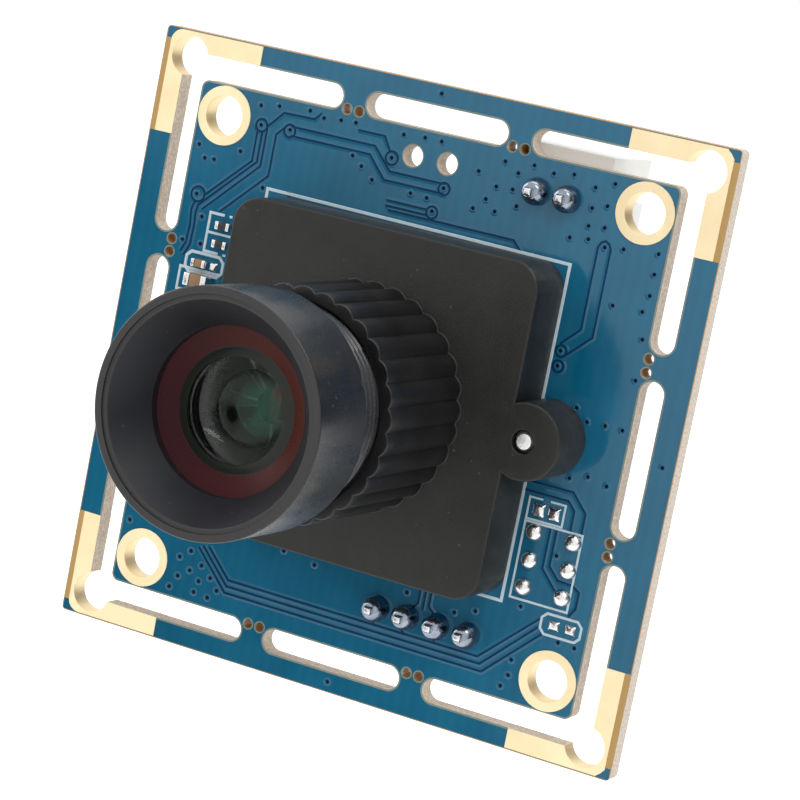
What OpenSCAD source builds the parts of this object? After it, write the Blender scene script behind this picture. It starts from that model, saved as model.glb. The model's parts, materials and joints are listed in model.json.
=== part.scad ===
// Board camera with a screw-in lens, standing upright as it is fixed in use.
// The lens looks along -Y and the board's top edge is up (+Z). The origin is the middle
// of the four mounting holes, on the board's front face. Sizes are in millimetres.
// Each piece is drawn lying down, front face at z = 0, and stand() sets it upright.

/* [Board] */
// Pitch of the four plated mounting holes of the inner board
hole_pitch = 28; // [26:0.1:30]
// Distance from the mounting holes to the inner board's edge
hole_inset = 1.9; // [1.85:0.05:2.4]
// Width of the snap-off frame along the left and right sides
rim_side = 1.6; // [1.5:0.05:2.5]
// Width of the snap-off frame along the top and bottom
rim_end = 1.3; // [1.2:0.05:2.5]
// Thickness of the board
board_t = 1.2; // [1:0.1:2]
// Radius of the board's outer corners
board_corner_r = 0.3; // [0.2:0.1:0.8]
// Radius of the inner board's corners
inner_corner_r = 0.5; // [0.2:0.1:0.8]
// Width of the slots routed between the inner board and the frame
slot_w = 1.5; // [1:0.1:1.6]
// Half length of the slot in the middle of each side
mid_slot_half = 4.7; // [3:0.1:6]
// Width of the tabs that join the frame to the inner board
tab_w = 1.6; // [1.4:0.1:2.4]
// Diameter of the small holes that weaken a tab
bite_d = 0.6; // [0.4:0.05:0.65]
// Spacing of the two small holes in a tab
bite_pitch = 0.82; // [0.7:0.01:1]
// How far those holes lie outside the inner board's edge
bite_out = 0.15; // [0.1:0.05:0.4]
// Thickness of the copper and its plating
copper_t = 0.05; // [0.03:0.01:0.08]

/* [Mounting holes] */
// Diameter of the mounting holes inside their plating
hole_d = 2.5; // [2.1:0.1:2.7]
// Diameter of the copper ring round each of them
ring_d = 3.64; // [3.2:0.02:3.7]
// Distance from the inner board's edge to the holes in the frame's corners
corner_out = 1.2; // [1.1:0.05:1.3]
// Diameter of the corner holes inside their plating
corner_d = 2.5; // [2.1:0.1:2.6]
// Length of a corner pad's arms, from the inner board's edge
pad_arm = 3.7; // [2.5:0.1:6]
// Bare strip between a corner pad and the board's left or right edge
pad_gap_side = 0.4; // [0.1:0.05:0.5]
// Bare strip between a corner pad and the board's top or bottom edge
pad_gap_end = 0.1; // [0.05:0.05:0.3]
// Outer corner radius of the two corner pads on the left
pad_corner_r = 0.8; // [0.4:0.1:1.2]
// Size of the cut across the corner of the two pads on the right
pad_corner_cut = 0.5; // [0.3:0.05:0.8]
// Diameter of the two spare holes at the top
spare_d = 1.3; // [1:0.1:1.6]
// Spacing of the two spare holes
spare_pitch = 2.3; // [2:0.1:2.6]
// Distance of the spare holes from the inner board's top edge
spare_inset = 1.7; // [1.2:0.1:2]
// Distance of the middle of the spare holes from the lens axis, to the right
spare_x = 0.1; // [-1:0.1:1]

/* [Lens holder] */
// Side of the holder's square foot
foot_side = 20.1; // [19:0.1:21]
// Height of the holder's foot
foot_h = 3.9; // [3.5:0.1:4.4]
// Corner radius of the foot
foot_r = 1.65; // [1:0.05:2.5]
// Wall of the foot round the sensor
foot_wall = 1.5; // [1.2:0.1:2]
// Thickness of the foot's roof
roof_t = 1.3; // [1:0.1:1.5]
// Distance from the lens axis to the screw in each ear
ear_reach = 11; // [10.6:0.1:11.4]
// Radius of each ear
ear_r = 2.3; // [2.2:0.1:2.6]
// Radius of the pilot hole in each ear
pilot_r = 0.72; // [0.65:0.01:0.8]
// Radius of the fluted tube over its ribs
tube_r = 6.85; // [6.75:0.05:7.5]
// Height of the tube's mouth over the board
tube_top = 13; // [12:0.1:13.3]
// Number of ribs round the tube
rib_count = 30; // [28:1:34]
// Radius of one rib's round back
rib_r = 0.95; // [0.8:0.01:1.1]
// Radius of the tube's lens bore
bore_r = 6; // [5.95:0.01:6.05]
// Size of the bevel at the mouth of the bore
mouth_bevel = 0.15; // [0.1:0.05:0.3]

/* [Lens] */
// Radial clearance of the lens in the holder's bore
thread_gap = 0.05; // [0.03:0.01:0.1]
// Height of the lens's rear end over the board, at rest
lens_rear = 5.5; // [5.2:0.1:6]
// Height of the back of the lens's head
head_rear = 16; // [15:0.1:16.4]
// Height of the lens's front rim
lens_front = 21.8; // [21.4:0.1:24]
// Radius of the lens's head
head_r = 6.9; // [6.8:0.05:8]
// Width of the flat front rim
rim_w = 0.45; // [0.4:0.05:0.6]
// Bevel of the head's back edge
head_bevel = 0.4; // [0.1:0.05:0.5]
// How deep the retaining ring sits below the front rim
ring_set_back = 0.1; // [0.05:0.05:0.6]
// Radius of the view through the retaining ring
view_r = 4.7; // [4.4:0.05:4.8]
// Radius of the front element
front_r = 5.1; // [4.95:0.05:5.3]
// Height of the front element's flat back
front_back = 17.3; // [17.1:0.05:17.5]
// Thickness of the front element at its edge
front_edge_t = 0.9; // [0.7:0.05:1.1]
// Radius of the front element's domed face
face_r = 3.5; // [3.2:0.05:3.6]
// Rise of that face from its edge to its middle
front_rise = 0.8; // [0.5:0.05:0.9]
// Radius of the hollow in the front element's back
hollow_r = 3; // [2.6:0.05:3.3]
// Depth of that hollow
hollow_depth = 1; // [0.7:0.05:1.1]
// Thickness of the shim in front of the front element, at its rim
shim_t = 0.6; // [0.4:0.05:0.8]
// Thickness of the shim at its opening
shim_lip_t = 0.15; // [0.1:0.05:0.3]
// Radius of the smaller elements and spacers
stack_r = 4.3; // [4:0.05:4.4]
// Clearance of the glass stack in the barrel
stack_gap = 0.05; // [0.03:0.01:0.08]
// Length of the front spacer
front_spacer_t = 1.1; // [0.8:0.1:1.3]
// Thickness of the front spacer's funnel at its narrow end
funnel_t = 0.3; // [0.2:0.05:0.5]
// Edge thickness of the second element
second_edge_t = 1.5; // [1:0.1:1.7]
// Radius of the second element's domed face
second_face_r = 2.25; // [2:0.05:2.8]
// Rise of the inner elements' domed faces
second_rise = 0.4; // [0.2:0.05:0.6]
// Radius of the hollow in the second element's back
second_hollow_r = 2.9; // [2.2:0.1:3.1]
// Length of the middle spacer
middle_spacer_t = 2.1; // [1.6:0.1:2.3]
// Radius of the aperture stop's hole
stop_r = 1.3; // [0.9:0.1:1.8]
// Thickness of the aperture stop
stop_t = 0.2; // [0.1:0.05:0.3]
// Edge thickness of the third element
third_edge_t = 1.2; // [0.8:0.1:1.4]
// Length of the rear spacer
rear_spacer_t = 1.4; // [1:0.1:1.6]
// Edge thickness of the rear element
rear_edge_t = 1.3; // [0.8:0.1:1.4]
// Wall of the spacers
spacer_wall = 0.6; // [0.4:0.05:0.8]
// Thickness of the lip that the glass stack rests on
lip_t = 0.8; // [0.6:0.1:1]
// Radius of the opening through that lip
lip_r = 3.4; // [3:0.1:3.7]
// Thickness of the infrared filter
filter_t = 0.4; // [0.3:0.05:0.5]

/* [Sensor] */
// Side of the square sensor package
sensor_side = 9; // [8:0.1:11]
// Height of the sensor package
sensor_h = 0.9; // [0.8:0.05:1.1]
// Thickness of the sensor's cover glass
cover_t = 0.4; // [0.3:0.05:0.5]
// Size of the sensor's die
die_size = [6.2, 4.4];
// Thickness of the die
die_t = 0.25; // [0.15:0.05:0.3]

/* [Connectors] */
// Pitch of the connector pins
pin_pitch = 2; // [1.8:0.1:2.2]
// Thickness of the square pins
pin_t = 0.5; // [0.4:0.05:0.55]
// How far the pin tails stand out of the board's front
pin_tail = 1.5; // [1:0.1:2]
// Width of a connector housing, across its pin row
shell_w = 4.5; // [4.3:0.1:5]
// Height of a connector housing
shell_h = 6; // [5.5:0.1:7]
// Wall of a connector housing
shell_wall = 0.6; // [0.5:0.05:0.8]
// Thickness of a connector housing's floor
shell_floor = 1.4; // [1:0.1:1.8]
// Length of a housing past its end pins
shell_end = 1.95; // [1.8:0.05:2.3]
// Distance from the pin row to the housing's near long side
shell_near = 1.7; // [1.6:0.05:2]
// Distance of the USB connector's pin row from the lens axis, to the right
usb_x = 5.4; // [4:0.1:6]
// Distance of the USB connector's pins from the inner board's bottom edge
usb_inset = 3.15; // [2.9:0.05:3.6]
// Distance of the auxiliary connector's pin row from the lens axis, to the right
aux_x = 8.15; // [6:0.05:8.5]
// Distance of the auxiliary connector's pins from the inner board's top edge
aux_inset = 2.1; // [1.9:0.05:4]
// Radius of a pin's solder joint
joint_r = 0.82; // [0.6:0.02:0.94]
// Height of a pin's solder joint
joint_h = 1.1; // [0.6:0.05:1.3]

/* [Solder places] */
// Distance from the holder's foot to the middle of the six joints on the right
header_gap = 2.55; // [2.2:0.05:3]
// Height of the middle of the six joints over the inner board's bottom edge
header_up = 8.6; // [8:0.1:9]
// Spacing of the six joints across and along
header_pitch = [2.5, 1.65];
// Radius of each of the six joints
header_joint_r = 0.47; // [0.4:0.01:0.6]
// Height of each of the six joints
header_joint_h = 0.4; // [0.2:0.05:0.5]

/* [Holder screws] */
// Radius of the screws' shanks
screw_r = 0.7; // [0.6:0.01:0.7]
// Radius of the flat at the screws' tips
screw_tip_r = 0.44; // [0.2:0.02:0.5]
// Depth of the screws' tips below the tops of the ears
screw_set_back = 0.1; // [0:0.1:1.5]
// Radius of the screws' heads
screw_head_r = 1.5; // [1.2:0.1:1.8]
// Height of the screws' heads
screw_head_h = 1; // [0.8:0.1:1.2]

/* [Chips on the back] */
// Side of the video processor's body
proc_side = 7; // [6.5:0.5:7]
// Height of the video processor over the board
proc_h = 1.5; // [1.2:0.1:1.7]
// Leads on each side of the video processor
proc_leads = 12; // [8:1:12]
// Pitch of the video processor's leads
proc_pitch = 0.5; // [0.45:0.01:0.52]
// Place of the video processor
proc_at = [-1, 1.5];
// Size of the flash chip's body, across and along its leads
flash_size = [3.9, 4.9];
// Height of the flash chip over the board
flash_h = 1.6; // [1.3:0.1:1.8]
// Place of the flash chip, from the processor
flash_from_proc = [-9.6, 6.7];
// Size of the crystal's can
crystal_size = [3.2, 2.5];
// Height of the crystal's can
crystal_h = 0.8; // [0.6:0.1:1.2]
// Distance of the crystal from the middle of the processor, upwards
crystal_up = 9.1; // [8.5:0.1:10]
// Size of a voltage regulator's body
reg_size = [1.6, 2.9];
// Height of a voltage regulator over the board
reg_h = 1.1; // [0.9:0.1:1.4]
// Place of the lower voltage regulator, from the inner board's left and bottom edges
reg_inset = [4.4, 5.2];
// Distance between the two voltage regulators
reg_pitch = 4.4; // [4:0.1:5]
// Size of the common-mode choke
choke_size = [2, 1.2];
// Height of the common-mode choke
choke_h = 1.2; // [0.8:0.1:1.4]
// Gap between the choke and the USB connector
choke_gap = 1.2; // [0.8:0.1:1.6]

/* [Resistors and capacitors] */
// Length and width of a small chip part
chip_size = [1, 0.5];
// Length and width of a large chip part
big_chip_size = [1.6, 0.8];
// Share of a chip part's length that each end cap covers
cap_share = 0.26; // [0.2:0.01:0.32]
// Height of a resistor
resistor_h = 0.35; // [0.3:0.05:0.5]
// Height of a small capacitor
capacitor_h = 0.5; // [0.4:0.05:0.6]
// Height of a large capacitor
big_capacitor_h = 0.8; // [0.6:0.05:0.9]
// Gap between the processor's leads and the parts round it
part_gap = 1; // [0.9:0.1:1.2]

/* [Hidden] */
round_fn = 64;                 // facets of a large circle where a mesh is wanted
small_fn = 24;                 // the same for a small hole
eps = 0.01;                    // overshoot of a cut past the face that it leaves
inner_half = hole_pitch / 2 + hole_inset;  // half the side of the square inner board
frame_in = inner_half + slot_w;            // inner edge of the snap-off frame
board_w = 2 * (frame_in + rim_side);
board_h = 2 * (frame_in + rim_end);
slot_mid = inner_half + slot_w / 2;        // middle line of the routed slots
back_z = -board_t;                         // the board's back face
corner_pitch = 2 * (inner_half + corner_out);
pad_x = board_w / 2 - pad_gap_side;
pad_y = board_h / 2 - pad_gap_end;
pad_start = inner_half - pad_arm;
pin_hole_r = pin_t * 0.72 + 0.09;          // clears the square pin's corners
header_hole_r = header_joint_r * 0.65;
screw_hole_r = screw_r + 0.15;
usb_pins = 4;
aux_pins = 2;
usb_at = [usb_x, usb_inset - inner_half];
aux_at = [aux_x, inner_half - aux_inset];
spare_at = [spare_x, inner_half - spare_inset];
header_at = [foot_side / 2 + header_gap, header_up - inner_half];
flash_at = proc_at + flash_from_proc;
crystal_at = proc_at + [0, crystal_up];
reg_at = [for (i = [0, 1])
          [reg_inset.x - inner_half, reg_inset.y - inner_half + i * reg_pitch]];
spare_places = [for (s = [-1, 1]) spare_at + [s * spare_pitch / 2, 0]];
header_places = [for (i = [-1, 1], j = [-1, 0, 1])
                 header_at + [i * header_pitch.x / 2, j * header_pitch.y]];
usb_places = row_places(usb_at, usb_pins);
aux_places = row_places(aux_at, aux_pins);

// heights of the lens stack: the shim in front, then from the front element backwards
shim_z = front_back + front_edge_t;
shim_front = shim_z + shim_t;
front_spacer_z = front_back - front_spacer_t;
second_z = front_spacer_z - second_edge_t;
middle_spacer_z = second_z - middle_spacer_t;
stop_z = middle_spacer_z - stop_t;
third_z = stop_z - third_edge_t;
rear_spacer_z = third_z - rear_spacer_t;
rear_z = rear_spacer_z - rear_edge_t;
lip_z = rear_z - stack_gap - lip_t;
filter_z = lip_z - stack_gap - filter_t;
thread_r = bore_r - thread_gap;
screw_tip_h = foot_h - screw_set_back;
bore_in_r = stack_r + stack_gap;           // the barrel's bore round the small elements
seat_r = front_r + stack_gap;              // the barrel's bore round the front element
rim_in_r = head_r - rim_w;
ring_front = lens_front - ring_set_back;
ring_back = shim_front + stack_gap;

// chips
lead_t = 0.15;                             // thickness of a chip's sheet-metal lead
proc_lead_w = 0.22;
proc_reach = 1;                            // how far a lead stands out of its body
flash_lead_w = 0.42;
flash_lead_pitch = 1.27;
reg_lead_w = 0.38;
reg_lead_pitch = 0.95;
reg_reach = 0.6;
flash_reach = 1.05;
stand_off = 0.1;                           // air under a leaded chip's body
around = proc_side / 2 + proc_reach + part_gap;
row_step = 1.7;                            // pitch of the parts round the processor
// resistors, as [x, y, turn]: a row over and a row under the processor, two on the front
back_resistors = [for (i = [-2:2], s = [-1, 1])
                  [proc_at.x + i * row_step, proc_at.y + s * around, 90]];
front_resistors = [for (y = [7.4, 6.25]) [3.3 - inner_half, y, 0]];
// small capacitors: a column on each side of the processor, one pair at the crystal
back_capacitors = concat(
    [for (i = [-1.5:1.5], s = [-1, 1]) [proc_at.x + s * around, proc_at.y + i * row_step, 0]],
    [for (s = [-1, 1]) [crystal_at.x + s * (crystal_size.x / 2 + part_gap), crystal_at.y, 90]]);
front_capacitors = [[2.2 - inner_half, 4.85, 0]];
// large capacitors: beside each regulator, and one on the front
big_back_capacitors = [for (p = reg_at, s = [-1, 1])
                       [p.x + reg_size.x / 2 + reg_reach + 1.9, p.y + s * 1.1, 0]];
big_front_capacitors = [[2.35 - inner_half, 3.8, 0]];
// bare pads, as [x, y, width, height]: a pair over the six joints, a pair under them and
// one beside the capacitors
bare_pads = [[header_at.x - 1.3, header_at.y + 3, 0.75, 0.75],
             [header_at.x - 0.3, header_at.y + 3, 0.75, 0.75],
             [inner_half - 2.2, 5.2 - inner_half, 0.65, 0.55],
             [inner_half - 1.15, 5.2 - inner_half, 0.65, 0.55],
             [3.1 - inner_half, 4.8, 0.5, 0.5]];

function row_places(at, count) =
    [for (i = [0:count - 1]) at + [(i - (count - 1) / 2) * pin_pitch, 0]];
// radius of the sphere that rises by rise over a circle of radius r
function dome_r(r, rise) = (r * r + rise * rise) / (2 * rise);

// sets a piece drawn lying on its back upright, with its front towards -Y
module stand() rotate([90, 0, 0]) children();

// puts its children behind the board, on the back face, with their tops pointing back
module on_back() translate([0, 0, back_z]) mirror([0, 0, 1]) children();

module at_places(places) for (p = places) translate([p.x, p.y, 0]) children();

module square_places(pitch)
    for (x = [-1, 1], y = [-1, 1]) translate([x * pitch / 2, y * pitch / 2]) children();

module rounded_rect(w, h, r) {
    square([w - 2 * r, h], center = true);
    square([w, h - 2 * r], center = true);
    for (x = [-1, 1], y = [-1, 1])
        translate([x * (w / 2 - r), y * (h / 2 - r)]) circle(r, $fn = small_fn * 2);
}

module tube(r_out, r_in, z0, z1)
    translate([0, 0, z0]) linear_extrude(z1 - z0) difference() {
        circle(r_out, $fn = round_fn);
        circle(r_in, $fn = round_fn);
    }

module disc(r, z0, z1) translate([0, 0, z0]) cylinder(r = r, h = z1 - z0, $fn = round_fn);

// a ball cap over a circle of radius r, rising by rise above z
module cap(r, rise, z)
    intersection() {
        translate([0, 0, z + rise - dome_r(r, rise)]) sphere(dome_r(r, rise), $fn = round_fn);
        disc(r + eps, z, z + rise + eps);
    }

// ---- board ----

// a straight slot with round ends, its end circles' outer points at x0 and x1
module side_slot(x0, x1)
    translate([0, slot_mid]) {
        translate([x0 + slot_w / 2, -slot_w / 2]) square([x1 - x0 - slot_w, slot_w]);
        for (x = [x0 + slot_w / 2, x1 - slot_w / 2])
            translate([x, 0]) circle(slot_w / 2, $fn = small_fn);
    }

// the corner slot: two arms that start past a tab and meet round the inner board's corner
module corner_slot() {
    arm = mid_slot_half + tab_w;
    difference() {
        union() {
            side_slot(arm, frame_in);
            mirror([1, -1]) side_slot(arm, frame_in);
            translate([slot_mid, slot_mid]) square(slot_w, center = true);
        }
        translate([slot_mid - slot_w, slot_mid - slot_w]) circle(eps, $fn = small_fn);
    }
    // the inner board's corner is rounded: the slot takes the sliver outside its radius
    corner = inner_half - inner_corner_r;
    difference() {
        translate([corner, corner]) square(inner_corner_r + eps);
        translate([corner, corner]) circle(inner_corner_r, $fn = small_fn);
    }
}

module slots_2d()
    for (turn = [0:90:270]) rotate(turn) {
        side_slot(-mid_slot_half, mid_slot_half);
        corner_slot();
    }

module bites_2d()
    for (turn = [0:90:270], s = [-1, 1], t = [-1, 1])
        rotate(turn)
            translate([s * (mid_slot_half + tab_w / 2) + t * bite_pitch / 2, inner_half + bite_out])
                circle(d = bite_d, $fn = small_fn);

module board_outline_2d() rounded_rect(board_w, board_h, board_corner_r);

module circuit_board() color("darkcyan") stand()
    translate([0, 0, back_z]) linear_extrude(board_t) difference() {
        board_outline_2d();
        slots_2d();
        bites_2d();
        square_places(hole_pitch) circle(hole_d / 2 + copper_t, $fn = round_fn);
        square_places(corner_pitch) circle(corner_d / 2 + copper_t, $fn = round_fn);
        at_places(spare_places) circle(d = spare_d, $fn = small_fn);
        at_places(concat(usb_places, aux_places)) circle(pin_hole_r, $fn = small_fn);
        at_places(header_places) circle(header_hole_r, $fn = small_fn);
        for (s = [-1, 1]) translate([s * ear_reach, 0]) circle(screw_hole_r, $fn = small_fn);
    }

// the L-shaped plates on the frame's corners, front and back, and the plated wall of
// each corner hole that joins them
module plates_outline_2d() {
    rounded_rect(2 * pad_x, 2 * pad_y, pad_corner_r);
    for (s = [-1, 1]) polygon([[0, 0], [0, s * pad_y], [pad_x - pad_corner_cut, s * pad_y],
                               [pad_x, s * (pad_y - pad_corner_cut)], [pad_x, 0]]);
}

module corner_plates_2d()
    difference() {
        plates_outline_2d();
        square(2 * frame_in, center = true);
        square([2 * pad_start, board_h], center = true);
        square([board_w, 2 * pad_start], center = true);
        square_places(corner_pitch) circle(corner_d / 2, $fn = round_fn);
    }

module corner_liners_2d()
    difference() {
        intersection() {
            square_places(corner_pitch) circle(corner_d / 2 + copper_t, $fn = round_fn);
            board_outline_2d();
        }
        square_places(corner_pitch) circle(corner_d / 2, $fn = round_fn);
        slots_2d();
        square(2 * frame_in, center = true);
    }

module frame_corner_pads() color("palegoldenrod") stand() {
    linear_extrude(copper_t) corner_plates_2d();
    translate([0, 0, back_z - copper_t]) linear_extrude(copper_t) corner_plates_2d();
    translate([0, 0, back_z - copper_t]) linear_extrude(board_t + 2 * copper_t)
        corner_liners_2d();
}

// plated eyelets: a ring on each face joined by the wall of the hole
module mounting_hole_rings() color("palegoldenrod") stand()
    square_places(hole_pitch) rotate_extrude($fn = round_fn) difference() {
        translate([hole_d / 2, back_z - copper_t])
            square([(ring_d - hole_d) / 2, board_t + 2 * copper_t]);
        translate([hole_d / 2 + copper_t, back_z]) square([ring_d, board_t]);
    }

// ---- lens holder ----

module foot_2d() {
    rounded_rect(foot_side, foot_side, foot_r);
    for (s = [-1, 1]) translate([s * ear_reach, 0]) circle(ear_r, $fn = round_fn);
}

// the tube's section: round-backed ribs that meet in sharp valleys
module tube_2d() {
    circle(tube_r - rib_r, $fn = round_fn);
    for (i = [0:rib_count - 1]) rotate((i + 0.5) * 360 / rib_count)
        translate([tube_r - rib_r, 0]) circle(rib_r, $fn = small_fn);
}

module lens_holder() color("dimgray") stand()
    difference() {
        union() {
            linear_extrude(foot_h) foot_2d();
            linear_extrude(tube_top) tube_2d();
        }
        translate([0, 0, -eps]) cylinder(r = bore_r, h = tube_top + 2 * eps, $fn = round_fn);
        translate([0, 0, tube_top - mouth_bevel])
            cylinder(r1 = bore_r, r2 = bore_r + mouth_bevel + eps, h = mouth_bevel + eps,
                     $fn = round_fn);
        chamber = foot_side - 2 * foot_wall;
        translate([0, 0, -eps]) linear_extrude(foot_h - roof_t + eps)
            rounded_rect(chamber, chamber, foot_r / 2);
        for (s = [-1, 1]) translate([s * ear_reach, 0, -eps])
            cylinder(r = pilot_r, h = foot_h + 2 * eps, $fn = small_fn);
    }

// ---- lens ----

module lens_barrel() color("darkslategray") stand()
    rotate_extrude($fn = round_fn) polygon([
        [lip_r, lip_z],
        [bore_in_r, lip_z],
        [bore_in_r, lens_rear],
        [thread_r - head_bevel, lens_rear],
        [thread_r, lens_rear + head_bevel],
        [thread_r, head_rear],
        [head_r - head_bevel, head_rear],
        [head_r, head_rear + head_bevel],
        [head_r, lens_front],
        [rim_in_r, lens_front],
        [rim_in_r, ring_back - eps],
        [seat_r, ring_back - eps],
        [seat_r, front_back - stack_gap],
        [bore_in_r, front_back - stack_gap],
        [bore_in_r, lip_z + lip_t],
        [lip_r, lip_z + lip_t]]);

// screws into the head and holds the front element: its inside is a wide light trap
module front_retaining_ring() color("black") stand()
    rotate_extrude($fn = round_fn) polygon([
        [view_r, ring_back],
        [rim_in_r, ring_back],
        [rim_in_r, ring_front],
        [rim_in_r - 0.15, ring_front],
        [view_r, ring_back + 0.5]]);

module front_element() color("lightcyan", 0.5) stand()
    difference() {
        union() {
            disc(front_r, front_back, shim_z);
            cap(face_r, front_rise, shim_z);
        }
        cap(hollow_r, hollow_depth, front_back);
        disc(hollow_r, front_back - 1, front_back);
    }

// its front slopes down to the glass, inside the view of the retaining ring
module front_shim() color("maroon") stand()
    rotate_extrude($fn = round_fn) polygon([
        [face_r + stack_gap, shim_z],
        [front_r, shim_z],
        [front_r, shim_front],
        [view_r + stack_gap, shim_front],
        [face_r + stack_gap, shim_z + shim_lip_t]]);

// a funnel from the hollow behind the front element to the face of the second one
module front_spacer() color("black") stand()
    rotate_extrude($fn = round_fn) polygon([
        [second_face_r + stack_gap, front_spacer_z],
        [stack_r, front_spacer_z],
        [stack_r, front_back],
        [hollow_r, front_back],
        [second_face_r + stack_gap, front_spacer_z + funnel_t]]);

module second_element() color("lightcyan", 0.5) stand()
    difference() {
        union() {
            disc(stack_r, second_z, front_spacer_z);
            cap(second_face_r, second_rise, front_spacer_z);
        }
        cap(second_hollow_r, second_edge_t * 0.7, second_z);
        disc(second_hollow_r, second_z - 1, second_z);
    }

module middle_spacer() color("black") stand()
    tube(stack_r, second_hollow_r, middle_spacer_z, second_z);

module aperture_stop() color("black") stand()
    tube(stack_r, stop_r, stop_z, middle_spacer_z);

module third_element() color("lightcyan", 0.5) stand() {
    disc(stack_r, third_z, stop_z);
    mirror([0, 0, 1]) cap(stack_r - spacer_wall - stack_gap, second_rise, -third_z);
}

module rear_spacer() color("black") stand()
    tube(stack_r, stack_r - spacer_wall, rear_spacer_z, third_z);

module rear_element() color("lightcyan", 0.5) stand() {
    disc(stack_r, rear_z, rear_spacer_z);
    cap(stack_r - spacer_wall - stack_gap, second_rise, rear_spacer_z);
}

module infrared_filter() color("lightskyblue", 0.5) stand()
    disc(stack_r, filter_z, filter_z + filter_t);

// ---- sensor ----

module sensor_package() color("silver") stand()
    difference() {
        translate([-sensor_side / 2, -sensor_side / 2, 0])
            cube([sensor_side, sensor_side, sensor_h]);
        translate([0, 0, sensor_h / 2]) linear_extrude(sensor_h)
            square(die_size + [0.8, 0.8], center = true);
    }

module sensor_die() color("purple") stand()
    translate([0, 0, sensor_h / 2]) linear_extrude(die_t) square(die_size, center = true);

module sensor_cover_glass() color("lightcyan", 0.4) stand()
    translate([0, 0, sensor_h]) linear_extrude(cover_t)
        square(die_size + [1.4, 1.4], center = true);

// ---- screws ----

// driven in from the back: the tip shows in the ear's pilot hole
module holder_screw() {
    grip = screw_tip_h + board_t;
    on_back() difference() {
        intersection() {
            cylinder(r = screw_head_r, h = screw_head_h, $fn = round_fn);
            translate([0, 0, screw_head_h - dome_r(screw_head_r * 1.4, screw_head_h)])
                sphere(dome_r(screw_head_r * 1.4, screw_head_h), $fn = round_fn);
        }
        for (turn = [0, 90]) rotate(turn)
            translate([-screw_head_r * 0.55, -0.16, screw_head_h * 0.4])
                cube([screw_head_r * 1.1, 0.32, screw_head_h]);
    }
    translate([0, 0, back_z]) cylinder(r = screw_r, h = grip - 0.5, $fn = round_fn);
    translate([0, 0, screw_tip_h - 0.5])
        cylinder(r1 = screw_r, r2 = screw_tip_r, h = 0.5, $fn = round_fn);
}

module holder_screws() color("silver") stand()
    for (s = [-1, 1]) translate([s * ear_reach, 0, 0]) holder_screw();

// ---- connectors ----

// a square pin with a bevelled tip at each end, from z0 to z1
module pin(z0, z1) {
    tip = pin_t / 3;
    profile = [[-pin_t / 2 + tip / 2, z0], [pin_t / 2 - tip / 2, z0], [pin_t / 2, z0 + tip],
               [pin_t / 2, z1 - tip], [pin_t / 2 - tip / 2, z1], [-pin_t / 2 + tip / 2, z1],
               [-pin_t / 2, z1 - tip], [-pin_t / 2, z0 + tip]];
    intersection() {
        translate([0, pin_t / 2, 0]) rotate([90, 0, 0]) linear_extrude(pin_t) polygon(profile);
        rotate([0, 0, 90]) translate([0, pin_t / 2, 0]) rotate([90, 0, 0])
            linear_extrude(pin_t) polygon(profile);
    }
}

module pin_row(places)
    at_places(places) pin(back_z - shell_h + 0.9, pin_tail);

// open-mouthed shell on the back: far is the side of the wide wall, +1 up or -1 down
module connector_shell(at, count, far) {
    length = (count - 1) * pin_pitch + 2 * shell_end;
    near = -shell_near;
    translate([at.x, at.y, 0]) mirror([0, far < 0 ? 1 : 0, 0]) on_back() difference() {
        translate([-length / 2, near, 0]) cube([length, shell_w, shell_h]);
        translate([-length / 2 + shell_wall, near + shell_wall, shell_floor])
            cube([length - 2 * shell_wall, shell_w - 2 * shell_wall, shell_h]);
        // two key slots in the near wall and one shallow window in each end wall
        for (s = [-1, 1]) {
            translate([s * (length / 2 - 1.45) - 0.35, near - eps, shell_floor + 1])
                cube([0.7, shell_wall + 2 * eps, shell_h]);
            translate([s * length / 2 - 1, near + shell_w * 0.42, shell_h * 0.62])
                cube([2, 0.9, shell_h]);
        }
        // wide relief in the far wall for the plug's latch rib
        translate([-length / 4, near + shell_w - shell_wall - eps, shell_h - 1.1])
            cube([length / 2, shell_wall + 2 * eps, shell_h]);
        for (i = [0:count - 1])
            translate([(i - (count - 1) / 2) * pin_pitch, 0, shell_floor / 2])
                cube([pin_t, pin_t, shell_floor + 2 * eps], center = true);
    }
}

module usb_connector_housing() color("ivory") stand() connector_shell(usb_at, usb_pins, -1);
module usb_connector_pins() color("gainsboro") stand() pin_row(usb_places);
module aux_connector_housing() color("ivory") stand() connector_shell(aux_at, aux_pins, 1);
module aux_connector_pins() color("gainsboro") stand() pin_row(aux_places);

// a full bell of solder round a pin: its side stands up from the pad and rounds in to the pin
module solder_bell(r, top_r, h)
    rotate_extrude($fn = small_fn) polygon(concat([[0, 0]],
        [for (a = [0:15:90]) [top_r + (r - top_r) * cos(a), h * sin(a)]],
        [[0, h]]));

// a plain round-topped joint
module solder_dome(r, h)
    rotate_extrude($fn = small_fn) polygon(concat([[0, 0]],
        [for (a = [0:15:90]) [r * cos(a), h * sin(a)]]));

module pin_solder_joints() color("gainsboro") stand()
    at_places(concat(usb_places, aux_places)) difference() {
        union() {
            solder_bell(joint_r, pin_t * 0.75, joint_h);
            translate([0, 0, back_z]) cylinder(r = pin_hole_r, h = board_t, $fn = small_fn);
        }
        translate([0, 0, back_z]) linear_extrude(board_t + joint_h + 1)
            square(pin_t, center = true);
    }

module header_solder_joints() color("gainsboro") stand()
    at_places(header_places) {
        solder_dome(header_joint_r, header_joint_h);
        translate([0, 0, back_z]) cylinder(r = header_hole_r, h = board_t, $fn = small_fn);
        on_back() solder_dome(header_joint_r, header_joint_h);
    }

module bare_solder_pads() color("gainsboro") stand()
    for (p = bare_pads) translate([p[0], p[1], 0]) linear_extrude(copper_t)
        square([p[2], p[3]], center = true);

// ---- chips ----

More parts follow.
